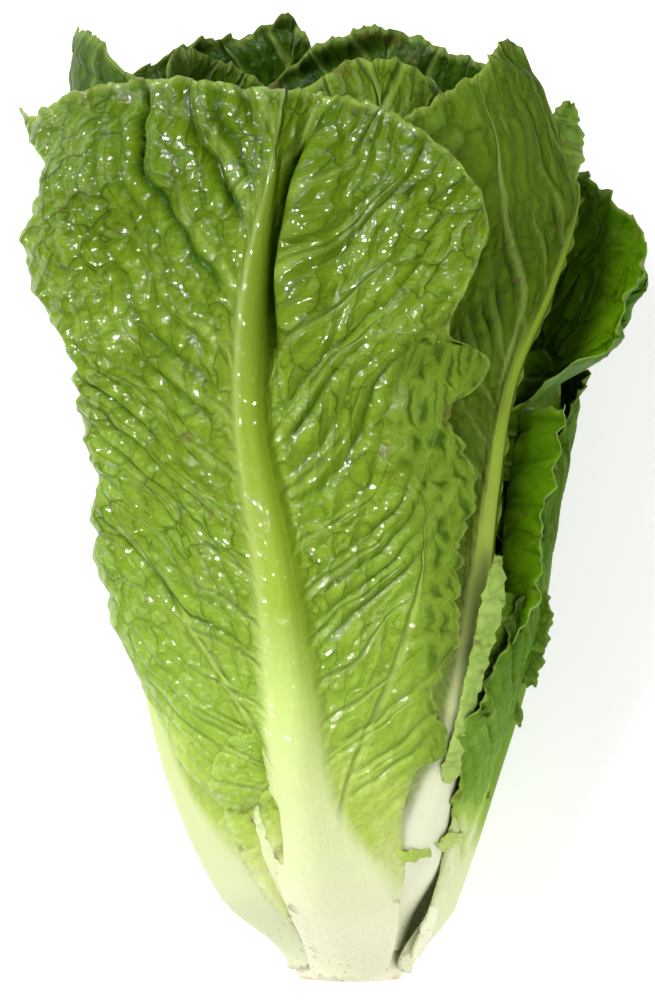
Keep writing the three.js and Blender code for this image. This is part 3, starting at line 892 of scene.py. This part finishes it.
def closed_grid(rows: int, columns: int) -> Array:
    """Quads of two grids of points, the first inside and the second outside, joined at their rim."""
    i, j = np.meshgrid(np.arange(rows - 1), np.arange(columns - 1), indexing="ij")
    a = (i * columns + j).ravel()
    inside = np.stack([a, a + 1, a + columns + 1, a + columns], axis=1)
    count = rows * columns
    outside = inside[:, ::-1] + count
    bottom = np.arange(columns - 1)
    right = np.arange(rows - 1) * columns + columns - 1
    top = (rows - 1) * columns + np.arange(columns - 1, 0, -1)
    left = np.arange(rows - 1, 0, -1) * columns
    rim = np.concatenate([bottom, right, top, left])
    following = np.roll(rim, -1)
    wall = np.stack([rim, rim + count, following + count, following], axis=1)
    return np.concatenate([inside, outside, wall])


def make_mesh(name: str, points: Array, faces: Array) -> bpy.types.Mesh:
    """A smooth mesh of quads from whole arrays."""
    mesh = bpy.data.meshes.new(name)
    mesh.vertices.add(len(points))
    mesh.vertices.foreach_set("co", points.astype(np.float32).ravel())
    mesh.loops.add(faces.size)
    mesh.loops.foreach_set("vertex_index", faces.astype(np.int32).ravel())
    mesh.polygons.add(len(faces))
    mesh.polygons.foreach_set("loop_start", np.arange(0, faces.size, 4, dtype=np.int32))
    mesh.polygons.foreach_set("use_smooth", np.ones(len(faces), dtype=bool))
    mesh.update(calc_edges=True)
    mesh.validate()
    return mesh


def put(mesh: bpy.types.Mesh, name: str, values: Array, kind: str = "FLOAT", key: str = "value") -> None:
    """Gives each point of a mesh a named value for the materials to read."""
    attribute = mesh.attributes.new(name, kind, "POINT")
    attribute.data.foreach_set(key, values.astype(np.float32).ravel())


# ---- finishes

RIB_FRONT = shades(
    (0.0, 238, 238, 204), (0.09, 238, 240, 198), (0.2, 224, 234, 170), (0.32, 200, 221, 126),
    (0.43, 156, 182, 62), (0.6, 138, 163, 46), (0.73, 118, 143, 36), (0.88, 102, 128, 28),
    (1.0, 90, 116, 20),
)
RIB_SIDE = shades(
    (0.0, 228, 231, 192), (0.2, 212, 222, 164), (0.34, 196, 214, 128), (0.5, 176, 202, 88),
    (0.75, 150, 178, 60), (1.0, 104, 134, 30),
)
FINISHES: dict[str, LeafFinish] = {
    finish.name: finish
    for finish in (
        LeafFinish(
            # flank paints shade on the midrib's right flank and light on its left.
            "front", rib=RIB_FRONT, flank=0.9,
            outside=shades(
                (0.08, 224, 230, 160), (0.18, 188, 210, 96), (0.3, 147, 180, 58), (0.47, 129, 161, 40),
                (0.73, 118, 147, 30), (0.88, 99, 129, 14), (1.0, 90, 118, 8),
            ),
            inside=shades((0.1, 200, 218, 120), (0.4, 90, 130, 18), (1.0, 50, 82, 4)),
        ),
        LeafFinish(
            "matt", gloss=Gloss.MATT, network=0.45,
            outside=shades(
                (0.1, 222, 228, 170), (0.25, 168, 192, 90), (0.45, 104, 132, 36), (0.75, 86, 116, 12),
                (1.0, 84, 112, 14),
            ),
            inside=shades((0.1, 190, 212, 110), (0.4, 70, 108, 10), (1.0, 46, 76, 4)),
            rib=shades(
                (0.0, 236, 236, 206), (0.17, 238, 241, 210), (0.28, 220, 229, 164), (0.36, 206, 222, 126),
                (0.45, 190, 213, 90), (0.6, 148, 174, 52), (1.0, 106, 130, 34),
            ),
        ),
        LeafFinish(
            "furrowed", gloss=Gloss.MATT, quilt=0.9, network=0.45,
            outside=shades(
                (0.12, 232, 235, 200), (0.19, 224, 231, 174), (0.24, 180, 207, 94), (0.3, 132, 170, 54),
                (0.42, 108, 148, 38), (0.6, 92, 130, 28), (1.0, 78, 114, 18),
            ),
            inside=shades((0.1, 190, 210, 110), (0.4, 64, 102, 10), (1.0, 40, 68, 2)),
            rib=shades(
                (0.0, 232, 234, 200), (0.2, 224, 232, 176), (0.25, 160, 190, 80), (0.32, 116, 154, 42),
                (1.0, 82, 118, 20),
            ),
        ),
        LeafFinish(
            "pale", rib=RIB_SIDE, gloss=Gloss.MATT, quilt=0.5, network=0.15,
            outside=shades((0.1, 204, 222, 136), (0.5, 162, 194, 92), (1.0, 128, 162, 60)),
            inside=shades((0.1, 200, 216, 130), (0.5, 120, 150, 60), (1.0, 90, 120, 30)),
        ),
        LeafFinish(
            "deep", rib=RIB_SIDE, gloss=Gloss.SATIN,
            outside=shades((0.1, 206, 220, 140), (0.4, 96, 140, 16), (1.0, 74, 116, 4)),
            inside=shades(
                (0.1, 190, 210, 110), (0.35, 148, 194, 22), (0.6, 128, 178, 14), (0.8, 100, 146, 10),
                (1.0, 74, 114, 8),
            ),
        ),
        LeafFinish(
            "dark", rib=RIB_SIDE, gloss=Gloss.SATIN, quilt=0.8,
            outside=shades(
                (0.1, 214, 226, 150), (0.22, 180, 204, 88), (0.4, 104, 138, 34), (0.7, 78, 110, 16),
                (1.0, 62, 90, 8),
            ),
            inside=shades((0.1, 190, 210, 110), (0.35, 72, 112, 12), (0.7, 54, 88, 6), (1.0, 50, 82, 4)),
        ),
        LeafFinish(
            "bright", rib=RIB_SIDE, gloss=Gloss.SATIN, network=0.6,
            outside=shades((0.1, 222, 230, 170), (0.4, 122, 156, 52), (1.0, 76, 112, 18)),
            inside=shades(
                (0.1, 206, 220, 120), (0.3, 140, 188, 36), (0.6, 116, 168, 14), (1.0, 102, 150, 12),
            ),
        ),
        LeafFinish(
            "heart", rib=RIB_SIDE, gloss=Gloss.SATIN, quilt=0.7, slot="inner_leaf",
            outside=shades((0.1, 232, 236, 180), (0.5, 170, 196, 84), (1.0, 92, 122, 8)),
            inside=shades((0.1, 226, 232, 160), (0.5, 158, 188, 68), (1.0, 78, 112, 4)),
        ),
    )
}

# ---- the leaves of this head

OUTER_LEAVES: tuple[Leaf, ...] = (
    Leaf(
        "leaf_front", start=2, end=268, finish="front", flare=(11, 4), flare_from=(80, 190),
        flare_reach=0.7, ruffle=1.6, margin=0, rib=1.25, fold=(8, 0.13, 0.085, 165, 215), gutter=True,
        rows=300, columns=165, pleat=2.2, crease=2.1, frill=1.1, calm=0.8, teeth=1.1, spacing=10.5,
        trough_reach=(30, 62), uneven=0.42, pit_from=36,
        around=((2, -6), (60, -9), (120, -13), (165, -18), (205, -16), (266, -9)),
        layer=((0, 1),),
        edges=(
            (2, 10.5, 14), (20, 10, 20), (35, 11, 26), (50, 18, 27), (60, 28, 29.5), (66, 34, 33),
            (72, 40, 43.5), (86, 50, 38), (105, 56, 45), (128, 56, 47), (150, 44, 55), (156, 44, 55.5),
            (169, 45, 50.5), (173, 46, 51.5), (177, 45, 56), (181, 45, 60.3), (184, 44, 62),
            (186.5, 44, 62), (189, 45, 60), (191.5, 46, 55.5), (193.5, 47, 50.5), (196, 50, 49.5),
            (202, 54, 50.5), (210, 59, 53), (226, 61, 56), (245, 57, 53), (262, 80, 47),
        ),
        tip=(
            (-1, 264), (-0.9, 260), (-0.8, 262), (-0.6, 268), (-0.3, 270), (-0.1, 267), (0.1, 266),
            (0.2, 265), (0.34, 264), (0.5, 261), (0.75, 251), (0.9, 239), (1, 226),
        ),
        majors=(
            ((36, 6), (55, 11), (76, 19), (97, 28), (120, 36), (146, 41)),
            ((62, -4), (86, -14), (110, -26), (135, -37), (152, -42)),
        ),
    ),
    Leaf(
        "leaf_right_outer", start=2.5, end=188, finish="furrowed", flare=(-4, 0), flare_from=(100, 150),
        flare_reach=0.5, ruffle=1.4, rib=0.9, seed=2, rows=140, columns=80, pleat=2.6,
        trough_reach=(60, 80), trough_length=22, spacing=9, crease=1.5,
        around=((3, 88), (60, 92), (185, 108)),
        layer=((0, 1), (140, 1), (188, 1.06)),
        edges=(
            (2.5, 10.5, 10.5), (14, 14.5, 14), (25, 20, 17), (40, 24.5, 21), (60, 34, 25), (76, 44, 28),
            (98, 43, 32), (117, 38, 34), (140, 31, 36), (165, 28, 36), (188, 22, 26),
        ),
    ),
    Leaf(
        "leaf_under", start=3, end=295, seed=3, rows=170, columns=120, crease=1.2, frill=2.2, teeth=1.8,
        around=((3, -157), (80, -165), (290, -172)),
        layer=((0, 1),),
        edges=(
            (3, 10.5, 10.5), (14, 14, 15), (25, 19, 22), (40, 23, 28), (60, 28, 34), (90, 36, 42),
            (149, 54, 56), (207, 67, 68), (260, 63, 65), (295, 46, 50),
        ),
        tip=(
            (-1, 258), (-0.8, 274), (-0.6, 284), (-0.42, 291), (-0.25, 288), (-0.13, 279), (-0.05, 291),
            (0.04, 295), (0.2, 289), (0.45, 287), (0.6, 281), (0.8, 270), (1, 254),
        ),
    ),
    Leaf(
        "leaf_right_inner", start=6, end=168, finish="bright", rise=26, flare=(14, 0),
        flare_from=(75, 125), flare_reach=0.25, rib=0.6, fold=(5, -0.7, 0.22, 40, 80), seed=4, rows=140,
        around=((6, 114), (60, 110), (180, 104)),
        layer=((0, 0.88),),
        edges=(
            (6, 10, 10), (14, 11, 11), (25, 14, 14), (40, 21, 18), (60, 31, 24), (80, 38, 31),
            (110, 44, 40), (140, 45, 45), (168, 42, 38),
        ),
        tip=((-1, 174), (-0.75, 173), (-0.3, 170), (0.4, 163), (1, 146)),
    ),
    Leaf(
        "leaf_left", start=4, end=264, ruffle=1.4, seed=5, columns=100,
        around=((4, -76), (25, -71), (60, -70), (110, -80), (150, -88), (262, -94)),
        layer=((0, 0.9),),
        edges=(
            (4, 10.5, 10.5), (14, 14, 15), (25, 19, 21), (40, 24, 25), (60, 29, 28), (90, 36, 34),
            (134, 46, 45), (186, 57, 55), (233, 53, 53), (264, 40, 39),
        ),
    ),
    Leaf(
        "leaf_under_right", start=12, end=290, rise=30, width=58, rib=0.8, seed=6, rows=140, frill=2.2,
        around=((12, 162), (287, 166)),
        layer=((0, 0.74), (60, 0.8), (120, 0.84)),
    ),
    Leaf(
        "leaf_right_back", start=17, end=252, finish="deep", rise=36, flare=(29, 0),
        flare_from=(164, 196), flare_reach=0.9, rib=0.7, seed=7, columns=100, frill=2.2, crease=3.4,
        pleat=2.4, trough_reach=(40, 60), teeth=2.0,
        around=((17, 150), (60, 130), (100, 124), (240, 117)),
        layer=((0, 0.62), (100, 0.68), (150, 0.75)),
    ),
    Leaf(
        "leaf_right_front", start=10, end=284, finish="matt", rise=30, ruffle=0.8, seed=8, rows=200,
        columns=120, pleat=1.8, trough_reach=(18, 34), trough_length=8, trough_breaks=(0.3, 1.3),
        spacing=6.8, crease=2.6, pale=0.62,
        around=((10, 38), (60, 44), (120, 47), (176, 53), (205, 58), (236, 68)),
        layer=((0, 0.84), (30, 0.88), (80, 0.88), (120, 0.84)),
        edges=(
            (10, 9.5, 11), (30, 13.5, 15.5), (60, 17, 12), (100, 34, 8), (140, 50, 6.5), (180, 58, 5.5),
            (230, 64, 6), (280, 58, 7),
        ),
        tip=((-1, 256), (-0.6, 271), (-0.3, 281), (0, 240), (1, 236)),
        majors=(((158, 0), (182, -3), (206, -9), (221, -20), (236, -30), (255, -33), (272, -34)),),
    ),
    Leaf(
        "leaf_left_front", start=12, end=287, rib=0.6, rise=26, width=56, seed=9, rows=160, frill=1.4,
        teeth=0.7,
        around=((12, -34), (50, -37), (100, -48), (220, -60), (280, -72)),
        layer=((0, 0.7), (60, 0.72), (110, 0.76), (230, 0.8), (280, 0.95)),
    ),
    Leaf(
        "leaf_right_upper", start=20, end=270, rise=40, width=48, ruffle=0.8, rib=0.8, seed=10,
        columns=80, frill=2.0,
        around=((20, 76), (265, 78)),
        layer=((0, 0.5), (100, 0.56), (150, 0.64)),
    ),
)


def inner_leaves() -> tuple[Leaf, ...]:
    """The heart: each leaf 137.5 degrees on from the last, smaller and further up the stem."""
    made = []
    for k in range(11):
        angle = 232 + 137.5 * k
        layer = 0.56 - 0.046 * k
        made.append(
            Leaf(
                f"leaf_inner_{k + 1:02d}", start=24 + 4 * k, end=283 - 6.5 * k, width=54 - 2.9 * k,
                around=((0, angle), (300, angle + 8)), layer=((0, 0.8 * layer), (150, layer)),
                finish="heart", rise=44, ruffle=0.5, rib=0.75, seed=20 + k, rows=72, columns=46,
                pleat=0.6, crease=0.5, frill=1.5,
            )
        )
    return tuple(made)


SCRAPS: tuple[Scrap, ...] = (
    Scrap(
        "left_flap", grow=(0.34, 0.24), curl=-2.0, crinkle=0.7, seed=51,
        path=(
            (-19, 77, 4, 3, -1), (-23.5, 71, 8, 7, 1.5), (-26, 64.5, 8.5, 8, 3.2), (-27, 59, 7, 7, 4),
            (-27.5, 54.5, 3, 4, 3),
        ),
    ),
    Scrap(
        "left_margin", grow=(0.24, 0.1), curl=-2.0, seed=52,
        path=(
            (-19.5, 62, 1.5, 2.5, 1.6), (-16.8, 55, 2.6, 3, 3.4), (-14.6, 46, 2.4, 2.6, 3.2),
            (-12.2, 36, 1.6, 1.8, 2), (-9, 27, 0.6, 0.8, 0),
        ),
    ),
    Scrap(
        "left_petiole", grow=(0.2, 0.06), ribness=1.0, ragged=0.1, crinkle=0.1, curl=-1.5, seed=53,
        path=(
            (-20.5, 57, 3.4, 4, 0.6), (-17.2, 43, 4, 4.2, 1.4), (-12.5, 30, 3.6, 3.2, 0.8),
            (-9, 20, 2.2, 2.2, -0.6),
        ),
    ),
    Scrap(
        "left_strip", grow=(0.2, 0.09), curl=-1.2, seed=54,
        path=(
            (-29, 59, 3, 3, 0.6), (-25.8, 49, 4, 3, 1.8), (-21.5, 38.5, 3.6, 2.6, 1.8),
            (-16.5, 29, 2.4, 2, 1), (-10.5, 20, 0.8, 0.8, 0),
        ),
    ),
    Scrap(
        "turned_rim", finish="pale", grow=(0.5, 0.4), curl=-0.6, seed=55,
        path=(
            (50.5, 130, 0.6, 0.8, 0), (49, 117, 3, 3.4, 0.6), (45, 100, 2.4, 2.6, 0.8),
            (42, 88, 2.2, 2.2, 0.8), (39, 76, 1.6, 1.6, 0.8), (36.5, 66, 2.4, 2.4, 0.6),
            (35.5, 62.5, 1, 1, 0.4),
        ),
    ),
    Scrap(
        "inner_fold", finish="furrowed", grow=(0.5, 0.4), curl=-1.0, crinkle=0.8, seed=63,
        path=((54, 119, 2.5, 3, -7), (50.8, 103, 3.5, 4, -6), (47, 88, 3.5, 4, -6), (44, 74, 2, 2.5, -6)),
    ),
    Scrap(
        "gap_fold", finish="dark", grow=(0.8, 0.7), seed=64, rows=44, columns=20,
        path=((60, 191, 5, 6, -24), (61, 178, 9, 9, -24), (58, 166, 8, 8, -24), (55, 152, 6, 6, -22)),
    ),
    Scrap(
        "torn_flap", finish="furrowed", grow=(0.55, 0.5), seed=56,
        path=(
            (63, 119, 2.5, 2, -2), (63.5, 112, 4, 4.5, -2), (61.5, 101, 4, 4.5, -2), (59, 91, 3.6, 4, -2),
        ),
    ),
    Scrap(
        "hanging_bit", finish="furrowed", grow=(0.5, 0.45), ragged=0.2, crinkle=0.2, seed=57, rows=24,
        columns=10,
        path=((56.5, 87, 0.7, 0.8, -4), (57.3, 82.5, 1.6, 1.7, -4), (58, 78, 0.5, 0.5, -4)),
    ),
    Scrap(
        "stub", finish="furrowed", grow=(0.36, 0.4), ragged=0.2, crinkle=0.2, seed=58, rows=24,
        columns=10,
        path=((44, 57.5, 1, 1, -2), (46.5, 57.2, 1.1, 1.1, -2), (49, 57.5, 1, 1, -2)),
    ),
    Scrap(
        "upper_bit", finish="bright", grow=(0.5, 0.7), crinkle=1.2, seed=62,
        path=(
            (63, 234, 7, 4, -24), (66, 243, 7, 7.5, -22), (68.5, 252, 6, 7.5, -20), (70, 259, 4, 5, -19),
            (71.5, 264.5, 1.2, 1.6, -18),
        ),
    ),
    Scrap(
        "right_frill", grow=(0.14, 0.2), seed=59, rows=36, columns=14,
        path=((21, 41, 1.2, 1, 0.6), (25.5, 40, 1.8, 1.5, 1.6), (30.5, 41.5, 0.8, 0.8, 1.6)),
    ),
    Scrap(
        "low_frill", grow=(0.2, 0.24), seed=60, rows=36, columns=14,
        path=((33.5, 42, 1.4, 1.4, 0.8), (37, 45, 2, 2, 1.6), (41, 43.5, 1, 1, 1)),
    ),
    Scrap(
        "base_tear", grow=(0.05, 0.03), ribness=1.0, ragged=0.35, crinkle=0.08, seed=61, rows=40,
        columns=14,
        path=(
            (32, 24, 1, 1, 0.3), (30, 18, 2, 1.6, 0.8), (27.5, 11, 1.6, 1.4, 0.6),
            (25.5, 7.5, 0.6, 0.6, 0),
        ),
    ),
)


# ---- the stem

STEM_LENGTH = STEM[-1][0]


@dataclass
class Stem:
    """The cut stem: rings round the head's axis with a rough, slightly sunk cut."""

    cut_rings: int = 30
    wall_rings: int = 50
    top_rings: int = 10
    sides: int = 96

    def coarse_low_corner(self) -> Array:
        """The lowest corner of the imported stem, in the head's frame, from its own formula."""
        y = np.array([0, 1.2, 5, 10, 16, 22, 30, 40, 52, 66, 78, 80.0])
        shrink = np.array([0.9] + [1.0] * 10 + [0.55])
        angle = 2 * np.pi * np.arange(20) / 20
        radius = (stem_radius(y) * shrink)[:, None]
        x = along(ENVELOPE, y, 3)[:, None] + radius * np.sin(angle)
        z = along(ENVELOPE, y, 4)[:, None] + radius * np.cos(angle)
        return np.array([x.min(), y.min(), z.min()])

    def build(self, offset: Array, material: bpy.types.Material) -> None:
        """Rings from the middle of the cut out to its rim and along the stem to its blunt top."""
        cut = np.linspace(0, 1, self.cut_rings)
        wall = np.linspace(0, 1, self.wall_rings)
        top = np.linspace(1, 0, self.top_rings)
        y = np.concatenate([0 * cut, STEM_LENGTH * wall, STEM_LENGTH + 0 * top])
        share = np.concatenate([cut, 1 + 0 * wall, top]) * np.where(np.arange(len(y)) < len(cut), 0.97, 1)
        angle = np.linspace(0, 2 * np.pi, self.sides, endpoint=False)[None, :]
        y, radius = y[:, None], (stem_radius(y) * share)[:, None]
        radius = radius * (0.94 + 0.06 * smooth(0, 3, y))
        rough = 0.35 * crumple(radius * np.sin(angle), radius * np.cos(angle) + 40, 5, 3)
        dish = smooth(2, 0, y) * (0.9 * (1 - (radius / 17) ** 2) + rough * 0.6)
        x = along(ENVELOPE, y, 3) + radius * np.sin(angle)
        z = along(ENVELOPE, y, 4) + radius * np.cos(angle)
        points = np.stack([x, y + dish, z], axis=-1).reshape(-1, 3)
        i, j = np.meshgrid(np.arange(len(y) - 1), np.arange(self.sides), indexing="ij")
        a = i * self.sides + j
        b = i * self.sides + (j + 1) % self.sides
        faces = np.stack([a, b, b + self.sides, a + self.sides], axis=-1).reshape(-1, 4)
        mesh = make_mesh("stem_fine", (points + offset) * MM, faces)
        put(mesh, "from_cut", np.broadcast_to(y, x.shape))
        piece = dress("fine_stem", mesh, material)
        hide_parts("stem")


def stem_material() -> bpy.types.Material:
    """Cream flesh, browned on the cut, with fine pits."""
    material = bpy.data.materials.new("stem_flesh")
    g = Graph(material)
    place = g.node("ShaderNodeTexCoord").outputs["Object"]
    stain = g.step(g.noise(place, 180, 4.0, 0.6), 0.42, 0.7)
    flesh = g.mix(stain, rgb(232, 229, 196), rgb(206, 178, 128))
    cut = g.step(g.attribute("from_cut"), 0.0, 3.0, 1.0, 0.0)
    spots = g.step(g.noise(place, 600, 3.0), 0.62, 0.7)
    brown = g.mix(g.times(spots, 0.6), flesh, rgb(150, 116, 66))
    inputs = {
        "Base Color": g.mix(cut, rgb(232, 231, 200), brown),
        "Roughness": 0.5,
        "Normal": g.bump(g.noise(place, 900, 3.0), 0.5, 0.5 * MM),
    }
    g.surface(g.node("ShaderNodeBsdfPrincipled", inputs).outputs[0])
    return material


# ---- studio


@dataclass(frozen=True)
class Lamp:
    """A round area lamp. One for glints shows only in the wet coats, and the others light the rest."""

    name: str
    place: Colour
    size: float
    watts: float
    glint: bool = False


LAMPS = (
    Lamp("key", (-0.95, 0.7, 1.25), 1.1, 37),
    Lamp("spark", (-0.3, 0.45, 1.9), 0.13, 33, glint=True),
    Lamp("side_spark", (-1.3, 0.4, 1.3), 0.15, 40, glint=True),
    Lamp("fill", (0.9, -0.8, 1.4), 2.0, 21),
)
# Distance from the cut of the point that the camera looks at, in mm.
VIEW_MIDDLE = 146.4


@dataclass
class Studio:
    """Pale floor, soft light from the upper left and a camera straight above."""

    centre: Vector
    distance: float = 2.0
    level: float = 0.06
    lens: float = 240.0
    floor_size: float = 60.0

    def floor(self) -> None:
        """A white floor that glows a little, so that it stays pale to its edges."""
        bpy.ops.mesh.primitive_plane_add(size=self.floor_size)
        floor = bpy.context.object
        floor.name = "floor"
        material = bpy.data.materials.new("floor_white")
        g = Graph(material)
        shader = g.node("ShaderNodeBsdfPrincipled", {"Base Color": (0.97, 0.97, 0.97), "Roughness": 0.9})
        shader.inputs["Specular IOR Level"].default_value = 0.1
        shader.inputs["Emission Color"].default_value = (1.0, 1.0, 1.0, 1.0)
        shader.inputs["Emission Strength"].default_value = 0.3
        g.surface(shader.outputs[0])
        floor.data.materials.append(material)

    def light(self, lamp: Lamp) -> None:
        """Hangs a lamp, aimed at the middle of the head."""
        data = bpy.data.lights.new(lamp.name, "AREA")
        data.shape, data.size, data.energy = "DISK", lamp.size, lamp.watts
        hung = bpy.data.objects.new(lamp.name, data)
        hung.location = lamp.place
        hung.visible_glossy = lamp.glint
        hung.visible_diffuse = not lamp.glint
        aim = Vector((self.centre.x, self.centre.y, 0.05)) - Vector(lamp.place)
        hung.rotation_euler = aim.to_track_quat("-Z", "Y").to_euler()
        bpy.context.scene.collection.objects.link(hung)

    def sky(self) -> None:
        """A white world, brightest at the horizon, that the wet coats don't mirror."""
        world = bpy.data.worlds.new("studio")
        g = Graph(world)
        up = g.split(g.node("ShaderNodeTexCoord").outputs["Generated"])[2]
        strength = g.step(up, 0.1, 0.9, 0.6, 0.2)
        sky = g.node("ShaderNodeBackground", {"Color": (1.0, 1.0, 1.0), "Strength": strength})
        g.node("ShaderNodeOutputWorld", {"Surface": sky.outputs[0]})
        bpy.context.scene.world = world
        world.cycles_visibility.glossy = False

    def camera(self) -> None:
        """A long lens straight above the head."""
        camera = bpy.data.cameras.new("camera")
        camera.lens, camera.sensor_width, camera.clip_start = self.lens, 36, 0.05
        eye = bpy.data.objects.new("camera", camera)
        eye.location = (self.centre.x, self.centre.y, self.distance + self.level)
        eye.rotation_euler = Euler((0, 0, 0))
        bpy.context.scene.collection.objects.link(eye)
        bpy.context.scene.camera = eye

    def build(self) -> None:
        """Sets the whole studio."""
        self.floor()
        for lamp in LAMPS:
            self.light(lamp)
        self.sky()
        self.camera()
        bpy.context.scene.view_settings.view_transform = "Standard"


# ---- the whole scene


def main() -> None:
    """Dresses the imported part, sets the studio and notes the sizes."""
    stem = Stem()
    offset = np.array(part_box("stem")[0]) / MM - stem.coarse_low_corner()
    LOG.info("head's frame sits at %s mm", np.round(offset, 3))
    materials = {key: LeafSkin(finish).build() for key, finish in FINISHES.items()}
    for sheet in (*OUTER_LEAVES, *inner_leaves(), *SCRAPS):
        sheet.build(offset, materials)
    stem.build(offset, stem_material())
    Studio(Vector((offset[0] * MM, (offset[1] + VIEW_MIDDLE) * MM, 0))).build()


if __name__ == "__main__":
    main()
